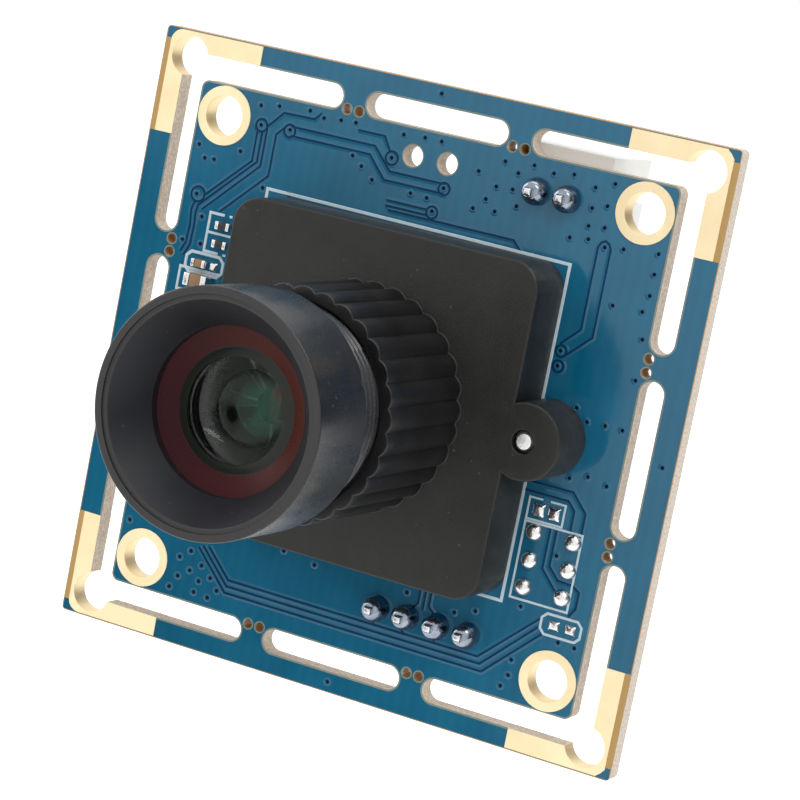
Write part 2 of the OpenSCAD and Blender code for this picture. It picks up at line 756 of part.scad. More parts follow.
// a moulded block whose four sides slope in from its waist, as a chip's body does
module moulded_block(size, z0, z1) {
    draft = (z1 - z0) * 0.12;
    waist = (z0 + z1) / 2;
    intersection() {
        translate([0, size.y / 2, 0]) rotate([90, 0, 0]) linear_extrude(size.y)
            block_side(size.x / 2, draft, z0, waist, z1);
        rotate([0, 0, 90]) translate([0, size.x / 2, 0]) rotate([90, 0, 0])
            linear_extrude(size.x) block_side(size.y / 2, draft, z0, waist, z1);
    }
}

module block_side(half, draft, z0, waist, z1)
    polygon([[-half + draft, z0], [half - draft, z0], [half, waist], [half - draft, z1],
             [-half + draft, z1], [-half, waist]]);

// a gull-wing lead: out of the body at its waist, down, and flat along the pad
module gull_lead(waist, reach, width)
    translate([0, width / 2, 0]) rotate([90, 0, 0]) linear_extrude(width) polygon([
        [0, waist - lead_t / 2],
        [reach * 0.3, waist - lead_t / 2],
        [reach * 0.5, 0],
        [reach, 0],
        [reach, lead_t],
        [reach * 0.5 + lead_t, lead_t],
        [reach * 0.3 + lead_t, waist + lead_t / 2],
        [0, waist + lead_t / 2]]);

module lead_row(count, pitch, half, waist, reach, width)
    for (i = [0:count - 1])
        translate([half, (i - (count - 1) / 2) * pitch, 0]) gull_lead(waist, reach, width);

module video_processor() color("dimgray") stand() translate([proc_at.x, proc_at.y, 0])
    on_back() moulded_block([proc_side, proc_side], stand_off, proc_h);

module video_processor_leads() color("gainsboro") stand()
    translate([proc_at.x, proc_at.y, 0]) on_back() for (turn = [0:90:270]) rotate(turn)
        lead_row(proc_leads, proc_pitch, proc_side / 2, (stand_off + proc_h) / 2,
                 proc_reach, proc_lead_w);

module flash_chip() color("dimgray") stand() translate([flash_at.x, flash_at.y, 0])
    on_back() moulded_block(flash_size, stand_off, flash_h);

module flash_chip_leads() color("gainsboro") stand() translate([flash_at.x, flash_at.y, 0])
    on_back() for (turn = [0, 180]) rotate(turn)
        lead_row(4, flash_lead_pitch, flash_size.x / 2, (stand_off + flash_h) / 2,
                 flash_reach, flash_lead_w);

// a seam-welded can: a flange at the foot and a slightly smaller lid
module crystal() color("silver") stand() translate([crystal_at.x, crystal_at.y, 0])
    on_back() {
        linear_extrude(crystal_h * 0.6) rounded_rect(crystal_size.x, crystal_size.y, 0.25);
        linear_extrude(crystal_h) rounded_rect(crystal_size.x - 0.4, crystal_size.y - 0.4, 0.3);
    }

module voltage_regulators() color("dimgray") stand() at_places(reg_at)
    on_back() moulded_block(reg_size, stand_off, reg_h);

module voltage_regulator_leads() color("gainsboro") stand() at_places(reg_at) on_back() {
    waist = (stand_off + reg_h) / 2;
    lead_row(3, reg_lead_pitch, reg_size.x / 2, waist, reg_reach, reg_lead_w);
    rotate(180) lead_row(2, 2 * reg_lead_pitch, reg_size.x / 2, waist, reg_reach, reg_lead_w);
}

// wound core under a flat cap, on four corner feet
module usb_choke() color("darkslategray") stand()
    translate([usb_at.x, usb_at.y + shell_near + choke_gap + choke_size.y / 2, 0]) on_back() {
        for (z = [0, choke_h * 0.72]) translate([0, 0, z]) linear_extrude(choke_h * 0.28)
            square(choke_size, center = true);
        linear_extrude(choke_h) square([choke_size.x * 0.6, choke_size.y * 0.8], center = true);
    }

// ---- chip parts ----

module chip_body(size, h)
    translate([-size.x * (0.5 - cap_share), -size.y * 0.46, 0])
        cube([size.x * (1 - 2 * cap_share), size.y * 0.92, h * 0.95]);

module chip_ends(size, h)
    for (s = [-1, 1])
        translate([s * size.x * (1 - cap_share) / 2 - size.x * cap_share / 2, -size.y / 2, 0])
            cube([size.x * cap_share, size.y, h]);

module placed(list) for (p = list) translate([p.x, p.y, 0]) rotate(p[2]) children();

module capacitor_bodies() color("tan") stand() {
    placed(front_capacitors) chip_body(chip_size, capacitor_h);
    placed(big_front_capacitors) chip_body(big_chip_size, big_capacitor_h);
    on_back() placed(back_capacitors) chip_body(chip_size, capacitor_h);
    on_back() placed(big_back_capacitors) chip_body(big_chip_size, big_capacitor_h);
}

module capacitor_end_caps() color("gainsboro") stand() {
    placed(front_capacitors) chip_ends(chip_size, capacitor_h);
    placed(big_front_capacitors) chip_ends(big_chip_size, big_capacitor_h);
    on_back() placed(back_capacitors) chip_ends(chip_size, capacitor_h);
    on_back() placed(big_back_capacitors) chip_ends(big_chip_size, big_capacitor_h);
}

module resistor_bodies() color("black") stand() {
    placed(front_resistors) chip_body(chip_size, resistor_h);
    on_back() placed(back_resistors) chip_body(chip_size, resistor_h);
}

module resistor_end_caps() color("gainsboro") stand() {
    placed(front_resistors) chip_ends(chip_size, resistor_h);
    on_back() placed(back_resistors) chip_ends(chip_size, resistor_h);
}

circuit_board();
frame_corner_pads();
mounting_hole_rings();
lens_holder();
lens_barrel();
front_retaining_ring();
front_element();
front_shim();
front_spacer();
second_element();
middle_spacer();
aperture_stop();
third_element();
rear_spacer();
rear_element();
infrared_filter();
sensor_package();
sensor_die();
sensor_cover_glass();
holder_screws();
usb_connector_housing();
usb_connector_pins();
aux_connector_housing();
aux_connector_pins();
pin_solder_joints();
header_solder_joints();
video_processor();
video_processor_leads();
flash_chip();
flash_chip_leads();
crystal();
voltage_regulators();
voltage_regulator_leads();
usb_choke();
capacitor_bodies();
capacitor_end_caps();
resistor_bodies();
resistor_end_caps();
bare_solder_pads();
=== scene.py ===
import json
import math
import bpy
import bmesh
import numpy as np
from mathutils import Matrix, Vector

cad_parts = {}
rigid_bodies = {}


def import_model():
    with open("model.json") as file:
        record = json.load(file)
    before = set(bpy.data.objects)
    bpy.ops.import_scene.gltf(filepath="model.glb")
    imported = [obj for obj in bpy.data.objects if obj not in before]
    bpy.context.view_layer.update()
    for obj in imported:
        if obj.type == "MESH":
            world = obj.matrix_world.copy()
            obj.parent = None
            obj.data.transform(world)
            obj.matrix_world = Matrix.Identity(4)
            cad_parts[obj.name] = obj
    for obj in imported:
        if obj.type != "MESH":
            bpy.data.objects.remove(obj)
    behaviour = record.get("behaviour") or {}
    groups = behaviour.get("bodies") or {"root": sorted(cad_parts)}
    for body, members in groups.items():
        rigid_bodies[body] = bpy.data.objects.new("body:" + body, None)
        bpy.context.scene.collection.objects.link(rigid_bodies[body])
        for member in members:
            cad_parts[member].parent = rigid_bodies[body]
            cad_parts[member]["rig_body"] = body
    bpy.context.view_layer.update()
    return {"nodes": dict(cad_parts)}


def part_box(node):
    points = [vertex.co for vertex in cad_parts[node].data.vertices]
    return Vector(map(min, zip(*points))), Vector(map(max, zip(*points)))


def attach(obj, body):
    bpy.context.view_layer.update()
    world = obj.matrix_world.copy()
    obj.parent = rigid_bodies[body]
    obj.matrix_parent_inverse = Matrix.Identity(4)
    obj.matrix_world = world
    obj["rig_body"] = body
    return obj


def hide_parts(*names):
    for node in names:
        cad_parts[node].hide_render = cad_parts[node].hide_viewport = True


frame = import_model()
nodes = frame["nodes"]
mm = 0.001
fixedBody, glassBody, lensBody = "board_and_holder", "glass_stack", "screw_barrel"
fullTurn = 2 * math.pi

# the camera's stand, seen from the lens axis
cameraView = {
    "azimuth": 24.14,     # degrees to the right of straight in front
    "elevation": 8.67,    # degrees above the lens axis
    "roll": 11.22,        # the camera leans to its left
    "distance": 178.9,    # from the aim point, in millimetres
    "aim": (1.2, 0.0, -0.15),
    "lens": 135.0,
    "sensor": 36.0,
}


def newObject(name, data):
    item = bpy.data.objects.new(name, data)
    bpy.context.scene.collection.objects.link(item)
    return item


def makeCamera():
    az, el, roll = (math.radians(cameraView[k]) for k in ("azimuth", "elevation", "roll"))
    ahead = Vector((-math.sin(az) * math.cos(el), math.cos(az) * math.cos(el), -math.sin(el)))
    right = ahead.cross(Vector((0, 0, 1))).normalized()
    up = right.cross(ahead)
    tiltedUp = up * math.cos(roll) - right * math.sin(roll)
    tiltedRight = ahead.cross(tiltedUp)
    place = Vector(cameraView["aim"]) * mm - ahead * cameraView["distance"] * mm
    turn = Matrix((tiltedRight, tiltedUp, -ahead)).transposed()
    data = bpy.data.cameras.new("camera")
    data.lens, data.sensor_width = cameraView["lens"], cameraView["sensor"]
    data.clip_start, data.clip_end = 0.01, 20
    camera = newObject("camera", data)
    camera.matrix_world = Matrix.Translation(place) @ turn.to_4x4()
    bpy.context.scene.camera = camera


# shader helpers: a value is a socket to link or a constant
def feed(tree, socket, value):
    if isinstance(value, bpy.types.NodeSocket):
        tree.links.new(value, socket)
    else:
        socket.default_value = value


def addNode(tree, kind, inputs=None, **settings):
    node = tree.nodes.new(kind)
    for key, value in settings.items():
        setattr(node, key, value)
    for key, value in (inputs or {}).items():
        feed(tree, node.inputs[key], value)
    return node


def mathNode(tree, operation, *values):
    return addNode(tree, "ShaderNodeMath", dict(enumerate(values)), operation=operation).outputs[0]


def product(tree, *values):
    result = values[0]
    for value in values[1:]:
        result = mathNode(tree, "MULTIPLY", result, value)
    return result


# weighted sum: the first value has the given share, the second has the rest
def blend(tree, first, second, share):
    return mathNode(tree, "ADD", product(tree, first, share), product(tree, second, 1 - share))


def mixValue(tree, factor, first, second):
    return addNode(tree, "ShaderNodeMix", {0: factor, 2: first, 3: second}).outputs[0]


def mixColour(tree, factor, *colours):
    node = addNode(tree, "ShaderNodeMix", {0: factor}, data_type="RGBA")
    for socket, colour in zip(node.inputs[6:8], colours):
        feed(tree, socket, colour if isinstance(colour, bpy.types.NodeSocket) else (*colour, 1))
    return node.outputs[2]


def splitVector(tree, vector):
    return addNode(tree, "ShaderNodeSeparateXYZ", {0: vector}).outputs


def mapRange(tree, value, low, high, outLow, outHigh):
    return addNode(tree, "ShaderNodeMapRange", {
        "Value": value, "From Min": low, "From Max": high,
        "To Min": outLow, "To Max": outHigh}).outputs[0]


def newGroup(name, inputs, outputs):
    group = bpy.data.node_groups.new(name, "ShaderNodeTree")
    for label, value in inputs.items():
        socket = group.interface.new_socket(label, in_out="INPUT", socket_type="NodeSocketFloat")
        socket.default_value = value
    for label in outputs:
        group.interface.new_socket(label, in_out="OUTPUT", socket_type="NodeSocketFloat")
    given = group.nodes.new("NodeGroupInput").outputs
    return group, given, group.nodes.new("NodeGroupOutput").inputs


# fine grain and slow clouds, both from noise on Object coordinates
def makeGrainGroup():
    group, given, result = newGroup("surfaceGrain", {"Grain Scale": 9000.0, "Cloud Scale": 300.0},
                                    ["Grain", "Clouds"])
    place = addNode(group, "ShaderNodeTexCoord").outputs["Object"]
    for label, scale, detail in (("Grain", "Grain Scale", 3.0), ("Clouds", "Cloud Scale", 4.0)):
        noise = addNode(group, "ShaderNodeTexNoise",
                        {"Vector": place, "Scale": given[scale], "Detail": detail})
        spread = mapRange(group, noise.outputs["Fac"], 0.3, 0.7, 0.0, 1.0)
        group.links.new(spread, result[label])
    return group


# sparse round specks: cells of a Voronoi pattern, only where a second noise is high
def makeSpeckGroup():
    group, given, result = newGroup("settledDust", {"Scale": 1500.0, "Size": 0.12, "Amount": 0.55},
                                    ["Specks"])
    place = addNode(group, "ShaderNodeTexCoord").outputs["Object"]
    cells = addNode(group, "ShaderNodeTexVoronoi", {"Vector": place, "Scale": given["Scale"]})
    near = mathNode(group, "LESS_THAN", cells.outputs["Distance"], given["Size"])
    noise = addNode(group, "ShaderNodeTexNoise", {"Vector": place, "Scale": given["Scale"]})
    dense = mathNode(group, "GREATER_THAN", noise.outputs["Fac"], given["Amount"])
    group.links.new(product(group, near, dense), result["Specks"])
    return group


# rubbed edges, and in some finishes painted edge highlights: where the surface is more pointed than
# its surroundings
def makeWearGroup():
    group, given, result = newGroup("edgeWear", {"Start": 0.52, "End": 0.6}, ["Wear"])
    pointed = addNode(group, "ShaderNodeNewGeometry").outputs["Pointiness"]
    place = addNode(group, "ShaderNodeTexCoord").outputs["Object"]
    noise = addNode(group, "ShaderNodeTexNoise", {"Vector": place, "Scale": 2500.0})
    shaped = addNode(group, "ShaderNodeMapRange", {
        "Value": pointed, "From Min": given["Start"], "From Max": given["End"]}).outputs[0]
    group.links.new(product(group, shaped, noise.outputs["Fac"]), result["Wear"])
    return group


grainGroup, speckGroup, wearAndGlintGroup = makeGrainGroup(), makeSpeckGroup(), makeWearGroup()
finishes = {}  # name: (material, the record's slot)


def useGroup(tree, group, values):
    node = addNode(tree, "ShaderNodeGroup")
    node.node_tree = group
    for key, value in values.items():
        node.inputs[key].default_value = value
    return node.outputs


def newMaterial(name, slot):
    material = bpy.data.materials.new(name)
    material.use_nodes = True
    finishes[name] = (material, slot)
    tree = material.node_tree
    return tree, tree.nodes["Principled BSDF"]


# colour, roughness and, with a depth in millimetres, relief go to the shader
def setSurface(tree, shader, colour, roughness, height=None, depth=0.0, strength=1.0):
    tree.links.new(colour, shader.inputs["Base Color"])
    tree.links.new(roughness, shader.inputs["Roughness"])
    if depth:
        relief = addNode(tree, "ShaderNodeBump", {
            "Height": height, "Strength": strength, "Distance": depth * mm})
        tree.links.new(relief.outputs[0], shader.inputs["Normal"])


# what the finishes share
finishLook = {
    "colourClouds": 0.7, "roughClouds": 0.6,   # share of the clouds; grain has the rest
    "dust": (0.5, 0.5, 0.48),
    "turning": -0.96, "square": -0.99,         # a face's direction along the lens axis
    "slantFrom": 0.02, "slantTo": 0.3,
}
mattFront = (0.027, 0.025, 0.025, 0.6)  # colour and roughness of turned front faces


# one finish: two colours mixed by clouds and grain, roughness that follows them, grain as bump
def makeFinish(name, dark, light, rough, metal=0.0, bump=0.0, grain=9000.0, clouds=300.0,
               wearAndGlint=0.0, wearAndGlintColour=None, dust=0.0, front=None, slantSheen=None, slot=None, **plain):
    look = finishLook
    tree, shader = newMaterial(name, slot or name)
    texture = useGroup(tree, grainGroup, {"Grain Scale": grain, "Cloud Scale": clouds})
    clouded = (texture["Clouds"], texture["Grain"])
    colour = mixColour(tree, blend(tree, *clouded, look["colourClouds"]), dark, light)
    # pointed edges take a lighter colour: wear, and on the barrel and the spacer edges also a
    # painted highlight
    if wearAndGlint:
        wornAndGlinting = useGroup(tree, wearAndGlintGroup, {})["Wear"]
        colour = mixColour(tree, product(tree, wornAndGlinting, wearAndGlint), colour, wearAndGlintColour)
    if dust:
        specks = useGroup(tree, speckGroup, {})["Specks"]
        colour = mixColour(tree, product(tree, specks, dust), colour, look["dust"])
    roughness = mapRange(tree, blend(tree, *clouded, look["roughClouds"]), 0.0, 1.0, *rough)
    if front:  # faces square to the lens axis are dull
        normal = addNode(tree, "ShaderNodeTexCoord").outputs["Normal"]
        square = mapRange(tree, splitVector(tree, normal)[1], look["turning"], look["square"],
                          0.0, 1.0)
        colour = mixColour(tree, square, colour, front[:3])
        roughness = mixValue(tree, square, roughness, front[3])
    if slantSheen:  # painted sheen: a lighter orange where the surface is seen at a slant, in place of the light it catches there
        slant = addNode(tree, "ShaderNodeLayerWeight").outputs["Facing"]
        slant = mapRange(tree, slant, look["slantFrom"], look["slantTo"], 0.0, 1.0)
        colour = mixColour(tree, slant, colour, slantSheen)
    setSurface(tree, shader, colour, roughness, texture["Grain"], bump)
    shader.inputs["Metallic"].default_value = metal
    for key, value in plain.items():
        shader.inputs[key.replace("_", " ")].default_value = value


# clear coated glass: its coating tints and weakens the reflections
def makeGlass(name, slot, tint, body=(1, 1, 1)):
    tree, shader = newMaterial(name, slot)
    clouds = useGroup(tree, grainGroup, {"Grain Scale": 4000.0, "Cloud Scale": 120.0})["Clouds"]
    shade = [channel * 0.97 for channel in body]
    setSurface(tree, shader, mixColour(tree, clouds, shade, body),
               mapRange(tree, clouds, 0.0, 1.0, 0.004, 0.01))
    for key, value in {"Transmission Weight": 1.0, "IOR": 1.5, "Specular Tint": (*tint, 1)}.items():
        shader.inputs[key].default_value = value


boardLook = {
    "maskDeep": (0.003, 0.120, 0.226), "maskPale": (0.006, 0.162, 0.290),
    "sideDark": (0.56, 0.46, 0.37), "sidePale": (0.84, 0.77, 0.68),
    "bare": (0.58, 0.36, 0.13), "scorched": (0.42, 0.23, 0.06),
    "tabIn": 15.5, "tabOut": 16.6, "tabFrom": 4.85, "tabTo": 6.15,  # where the small holes are
    "rim": 0.06,             # strip along the board's edge that the mask leaves bare
    "padInner": 12.2, "padSide": 0.4, "padBorder": 0.02, "padCorner": 0.75,
    "halfWidth": 19.0, "halfHeight": 18.7,
    "streakClouds": 0.8, "scorch": 0.85, "bareRough": 0.8, "maskRough": (0.07, 0.12),
    "weaveDepth": 0.002, "weaveStrength": 0.4,
}


# one material for the laminate: lacquer on both faces, bare glass fibre on cut sides and
# on the strips that the lacquer leaves free
def makeBoardFinish():
    look = boardLook
    tree, shader = newMaterial("solder_mask", "solder_mask")
    coordinates = addNode(tree, "ShaderNodeTexCoord").outputs
    texture = useGroup(tree, grainGroup, {"Grain Scale": 6000.0, "Cloud Scale": 220.0})
    normal, place = (splitVector(tree, coordinates[k]) for k in ("Normal", "Object"))
    faceOn = mathNode(tree, "GREATER_THAN", mathNode(tree, "ABSOLUTE", normal[1]), 0.5)
    across, upward = (mathNode(tree, "ABSOLUTE", place[k]) for k in (0, 2))
    outer, inner = (mathNode(tree, kind, across, upward) for kind in ("MAXIMUM", "MINIMUM"))

    def past(value, limit):
        return mathNode(tree, "GREATER_THAN", value, limit * mm)

    def within(value, limit):
        return mathNode(tree, "LESS_THAN", value, limit * mm)

    edge = mathNode(tree, "MAXIMUM", past(across, look["halfWidth"] - look["rim"]),
                    past(upward, look["halfHeight"] - look["rim"]))
    beside = product(tree, past(across, look["halfWidth"] - look["padSide"] - look["padBorder"]),
                     past(upward, look["padInner"]),
                     within(upward, look["halfHeight"] - look["padCorner"]))
    bare = mathNode(tree, "MAXIMUM", edge, beside)
    lacquered = product(tree, faceOn, mathNode(tree, "SUBTRACT", 1.0, bare))
    scorched = product(tree, past(outer, look["tabIn"]), within(outer, look["tabOut"]),
                       past(inner, look["tabFrom"]), within(inner, look["tabTo"]), look["scorch"])
    weave = addNode(tree, "ShaderNodeTexWave", {
        "Vector": coordinates["Object"], "Scale": 420.0, "Distortion": 1.5,
        "Detail": 2.0}).outputs["Fac"]
    streaks = blend(tree, texture["Clouds"], weave, look["streakClouds"])
    lacquer = mixColour(tree, streaks, look["maskDeep"], look["maskPale"])
    layered = mixColour(tree, texture["Grain"], look["sideDark"], look["sidePale"])
    layered = mixColour(tree, scorched, layered, look["scorched"])
    uncovered = mixColour(tree, faceOn, layered, look["bare"])
    glossy = mapRange(tree, texture["Clouds"], 0.0, 1.0, *look["maskRough"])
    setSurface(tree, shader, mixColour(tree, lacquered, uncovered, lacquer),
               mixValue(tree, lacquered, look["bareRough"], glossy),
               blend(tree, texture["Grain"], weave, 0.5), look["weaveDepth"], look["weaveStrength"])


holderLook = {
    "warmDark": (0.002, 0.0019, 0.0016), "warmPale": (0.014, 0.0135, 0.0112),
    "coolDark": (0.006, 0.006, 0.0066), "coolPale": (0.012, 0.012, 0.0132),
    "wornAndGlinting": (0.10, 0.10, 0.10), "wearAndGlint": 0.5, "dust": 0.08,
    "coarse": (0.38, 0.48), "smooth": (0.3, 0.4),     # roughness of the foot and of the tube
    "grainEnd": 3.95, "tubeStart": 4.05, "grainDepth": 0.006, "tubeGrain": 0.25,
}


# moulded plastic in two grades: a spark-eroded grain on the foot, a smooth tube above it
def makeHolderFinish():
    look = holderLook
    tree, shader = newMaterial("holder_plastic", "holder_plastic")
    texture = useGroup(tree, grainGroup, {"Grain Scale": 16000.0, "Cloud Scale": 500.0})
    coordinates = addNode(tree, "ShaderNodeTexCoord").outputs
    height, facing = (splitVector(tree, coordinates[k])[1] for k in ("Object", "Normal"))
    onTube = mapRange(tree, height, -look["grainEnd"] * mm, -look["tubeStart"] * mm, 0.0, 1.0)
    slanting = mathNode(tree, "GREATER_THAN", facing, finishLook["square"])
    wornAndGlinting = useGroup(tree, wearAndGlintGroup, {"Start": 0.53, "End": 0.6})["Wear"]
    specks = useGroup(tree, speckGroup, {"Amount": 0.6})["Specks"]
    mottle = blend(tree, texture["Clouds"], texture["Grain"], 0.5)
    colour = mixColour(tree, onTube, mixColour(tree, mottle, look["warmDark"], look["warmPale"]),
                       mixColour(tree, texture["Clouds"], look["coolDark"], look["coolPale"]))
    colour = mixColour(tree, product(tree, wornAndGlinting, slanting, look["wearAndGlint"]), colour, look["wornAndGlinting"])
    colour = mixColour(tree, product(tree, specks, look["dust"]), colour, finishLook["dust"])
    coarse, smooth = (mapRange(tree, texture["Clouds"], 0.0, 1.0, *look[k])
                      for k in ("coarse", "smooth"))
    relief = mapRange(tree, onTube, 0.0, 1.0, 1.0, look["tubeGrain"])
    setSurface(tree, shader, colour, mixValue(tree, onTube, coarse, smooth),
               product(tree, texture["Grain"], relief), look["grainDepth"])
    shader.inputs["Specular IOR Level"].default_value = 0.4


makeBoardFinish()
makeHolderFinish()
makeFinish("track_lacquer", (0.003, 0.118, 0.232), (0.006, 0.145, 0.28), (0.1, 0.16),
           slot="solder_mask")
makeFinish("gap_lacquer", (0.001, 0.030, 0.085), (0.002, 0.042, 0.105), (0.2, 0.3),
           slot="solder_mask", Specular_IOR_Level=0.15)
makeFinish("via_hole", (0.0005, 0.004, 0.010), (0.001, 0.008, 0.018), (0.5, 0.6),
           slot="solder_mask", Specular_IOR_Level=0.1)
makeFinish("marking_ink", (0.56, 0.68, 0.74), (0.70, 0.82, 0.88), (0.5, 0.65), bump=0.004,
           slot="solder_mask")
makeFinish("bare_laminate", (0.16, 0.22, 0.20), (0.34, 0.36, 0.28), (0.6, 0.8), bump=0.01,
           slot="solder_mask")
makeFinish("gold_plate", (0.84, 0.69, 0.42), (0.93, 0.79, 0.53), (0.48, 0.6), metal=1.0,
           bump=0.0012, grain=14000.0, dust=0.2)
# the pale colour on the barrel's pointed edges and thread crests is wear and in part a painted
# highlight
makeFinish("barrel_metal", (0.007, 0.008, 0.011), (0.020, 0.020, 0.024), (0.14, 0.42), bump=0.0015,
           grain=12000.0, clouds=330.0, wearAndGlint=0.7, wearAndGlintColour=(0.14, 0.15, 0.17), dust=0.12,
           front=mattFront)
makeFinish("ring_metal", (0.007, 0.008, 0.011), (0.015, 0.016, 0.022), (0.42, 0.55), bump=0.002,
           grain=14000.0, dust=0.08, front=mattFront)
# the red shim's lighter orange at a slant is a painted sheen
makeFinish("red_shim", (0.034, 0.003, 0.008), (0.048, 0.005, 0.009), (0.22, 0.34), bump=0.001,
           slantSheen=(0.088, 0.014, 0.007), Specular_IOR_Level=0.12)
makeFinish("spacer_metal", (0.004, 0.004, 0.0045), (0.010, 0.010, 0.0105), (0.2, 0.3), bump=0.001,
           Specular_IOR_Level=0.4)
# painted highlight: a pale colour on the pointed edges of the front spacer and the stop, a bright
# ring in place of light caught there
makeFinish("ground_edge_painted_glint", (0.010, 0.012, 0.011), (0.018, 0.022, 0.020), (0.24, 0.32),
           wearAndGlint=1.0, wearAndGlintColour=(0.5, 0.42, 0.42), slot="spacer_metal")
makeFinish("bevel_black", (0.014, 0.016, 0.012), (0.024, 0.028, 0.021), (0.28, 0.38), bump=0.001,
           slot="spacer_metal", Specular_IOR_Level=0.3)
makeFinish("sensor_ceramic", (0.24, 0.23, 0.21), (0.32, 0.31, 0.29), (0.5, 0.6), bump=0.003)
makeFinish("silicon", (0.01, 0.02, 0.015), (0.02, 0.04, 0.03), (0.1, 0.2), metal=0.2)
makeFinish("screw_steel", (0.80, 0.80, 0.79), (0.95, 0.95, 0.93), (0.42, 0.6), metal=1.0,
           bump=0.008, grain=5000.0)
makeFinish("connector_nylon", (0.93, 0.925, 0.89), (0.98, 0.975, 0.95), (0.38, 0.5), bump=0.004,
           grain=10000.0)
makeFinish("tinned_metal", (0.60, 0.61, 0.63), (0.78, 0.79, 0.81), (0.16, 0.3), metal=1.0,
           bump=0.004, grain=7000.0)
makeFinish("solder", (0.62, 0.62, 0.62), (0.80, 0.79, 0.77), (0.1, 0.3), metal=1.0,
           bump=0.02, grain=2600.0, clouds=1200.0)
# painted reflection: the pin joints are the same solder given a dark blue-grey colour in place of
# the dark surroundings they mirror
makeFinish("solder_painted_dark", (0.16, 0.19, 0.24), (0.34, 0.38, 0.44), (0.06, 0.2), metal=1.0,
           bump=0.012, grain=2600.0, clouds=1400.0, slot="solder")
makeFinish("chip_epoxy", (0.010, 0.010, 0.010), (0.020, 0.020, 0.020), (0.5, 0.65), bump=0.005,
           grain=15000.0, dust=0.1)
makeFinish("crystal_can", (0.58, 0.57, 0.54), (0.70, 0.69, 0.66), (0.25, 0.4), metal=1.0,
           bump=0.002)
makeFinish("choke_ferrite", (0.020, 0.019, 0.020), (0.04, 0.038, 0.036), (0.5, 0.7), bump=0.006)
makeFinish("capacitor_ceramic", (0.34, 0.19, 0.09), (0.43, 0.26, 0.13), (0.3, 0.45), bump=0.003)
makeFinish("resistor_black", (0.012, 0.012, 0.013), (0.03, 0.03, 0.032), (0.2, 0.35), bump=0.003)
makeGlass("coated_glass", "coated_glass", (0.26, 0.30, 0.25))
makeGlass("coated_glass_teal", "coated_glass", (0.02, 0.34, 0.22), body=(0.92, 1.0, 0.96))
makeGlass("coated_glass_pink", "coated_glass", (0.9, 0.10, 0.22), body=(1.0, 0.93, 0.94))
makeGlass("coated_glass_green", "coated_glass", (0.05, 0.6, 0.2), body=(0.9, 1.0, 0.93))
makeGlass("filter_glass", "filter_glass", (0.4, 0.12, 0.16), body=(0.75, 0.95, 1.0))
print("finishes made")


# board drawing to frame: x stays, y runs up, the height off the front face runs to -Y
def onBoard(x, y, height):
    x, y, height = np.broadcast_arrays(x, y, height)
    return np.stack([x, -height, y], -1).reshape(-1, 3) * mm


# quads between the rows and columns of a grid; a wrapped side joins its last line to its first
def gridQuads(rows, columns, wrapRows=False, wrapColumns=False):
    r = np.arange(rows if wrapRows else rows - 1)[:, None]
    c = np.arange(columns if wrapColumns else columns - 1)[None, :]
    nextR, nextC = (r + 1) % rows, (c + 1) % columns
    corners = [r * columns + c, nextR * columns + c, nextR * columns + nextC, r * columns + nextC]
    return np.stack(np.broadcast_arrays(*corners), -1).reshape(-1, 4).tolist()


# several (points, faces) pairs as one pair
def gathered(parts):
    points, faces, offset = [], [], 0
    for partPoints, partFaces in parts:
        points.append(partPoints)
        faces += [[corner + offset for corner in face] for face in partFaces]
        offset += len(partPoints)
    return np.concatenate(points), faces


# the same small shape set down at many places of the board
def scattered(part, places):
    points, faces = part
    places = np.asarray(places, float).reshape(-1, 2)
    offsets = np.stack([places[:, 0], np.zeros(len(places)), places[:, 1]], -1) * mm
    copies = (points[None] + offsets[:, None]).reshape(-1, 3)
    steps = np.arange(len(places)) * len(points)
    return copies, [[corner + step for corner in face] for step in steps.tolist() for face in faces]


def makePiece(name, part, finish, body, replaced=(), sharp=38.0, fill=()):
    points, faces = part
    mesh = bpy.data.meshes.new(name)
    mesh.from_pydata(points.tolist(), [], faces)
    work = bmesh.new()
    work.from_mesh(mesh)
    bmesh.ops.remove_doubles(work, verts=work.verts, dist=2e-7)
    for height in fill:  # close the flat faces that lie at this height
        rim = [e for e in work.edges
               if e.is_boundary and all(abs(v.co.y + height * mm) < 1e-6 for v in e.verts)]
        bmesh.ops.triangle_fill(work, edges=rim, use_beauty=True)
    bmesh.ops.recalc_face_normals(work, faces=work.faces)
    work.to_mesh(mesh)
    work.free()
    mesh.shade_smooth()
    mesh.set_sharp_from_angle(angle=math.radians(sharp))
    piece = newObject(name, mesh)
    material, slot = finishes[finish]
    mesh.materials.append(material)
    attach(piece, body)
    if replaced:
        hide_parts(*replaced)


# a copy of a CAD node with its edges broken: loose triangles are joined, flat faces are
# dissolved to one, a Bevel modifier rounds every edge sharper than its limit, and the
# normals are weighted by area so that flat faces stay flat
def dressed(node, finish, width, segments=2, limit=35.0):
    mesh = nodes[node].data.copy()
    mesh.name = node + "_dressed"
    work = bmesh.new()
    work.from_mesh(mesh)
    bmesh.ops.remove_doubles(work, verts=work.verts, dist=1e-6)
    bmesh.ops.dissolve_limit(work, angle_limit=math.radians(0.3), verts=work.verts,
                             edges=work.edges)
    work.to_mesh(mesh)
    work.free()
    mesh.materials.clear()
    material, slot = finishes[finish]
    mesh.materials.append(material)
    mesh.shade_smooth()
    piece = newObject(node + "_dressed", mesh)
    bevel = piece.modifiers.new("brokenEdges", "BEVEL")
    bevel.width, bevel.segments = width * mm, segments
    bevel.limit_method, bevel.angle_limit = "ANGLE", math.radians(limit)
    flat = piece.modifiers.new("flatFaces", "WEIGHTED_NORMAL")
    flat.weight, flat.keep_sharp = 100, False
    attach(piece, nodes[node]["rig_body"])
    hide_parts(node)


# an outline of arcs, each (x, y, radius, from, to) in degrees, with straight runs between
def arcOutline(arcs, step=6.0):
    runs = []
    for x, y, radius, start, end in arcs:
        count = max(2, int(abs(end - start) / step) + 1) if radius > 0 else 1
        angle = np.radians(np.linspace(start, end, count))
        runs.append(np.stack([x + radius * np.cos(angle), y + radius * np.sin(angle)], 1))
    return np.concatenate(runs)


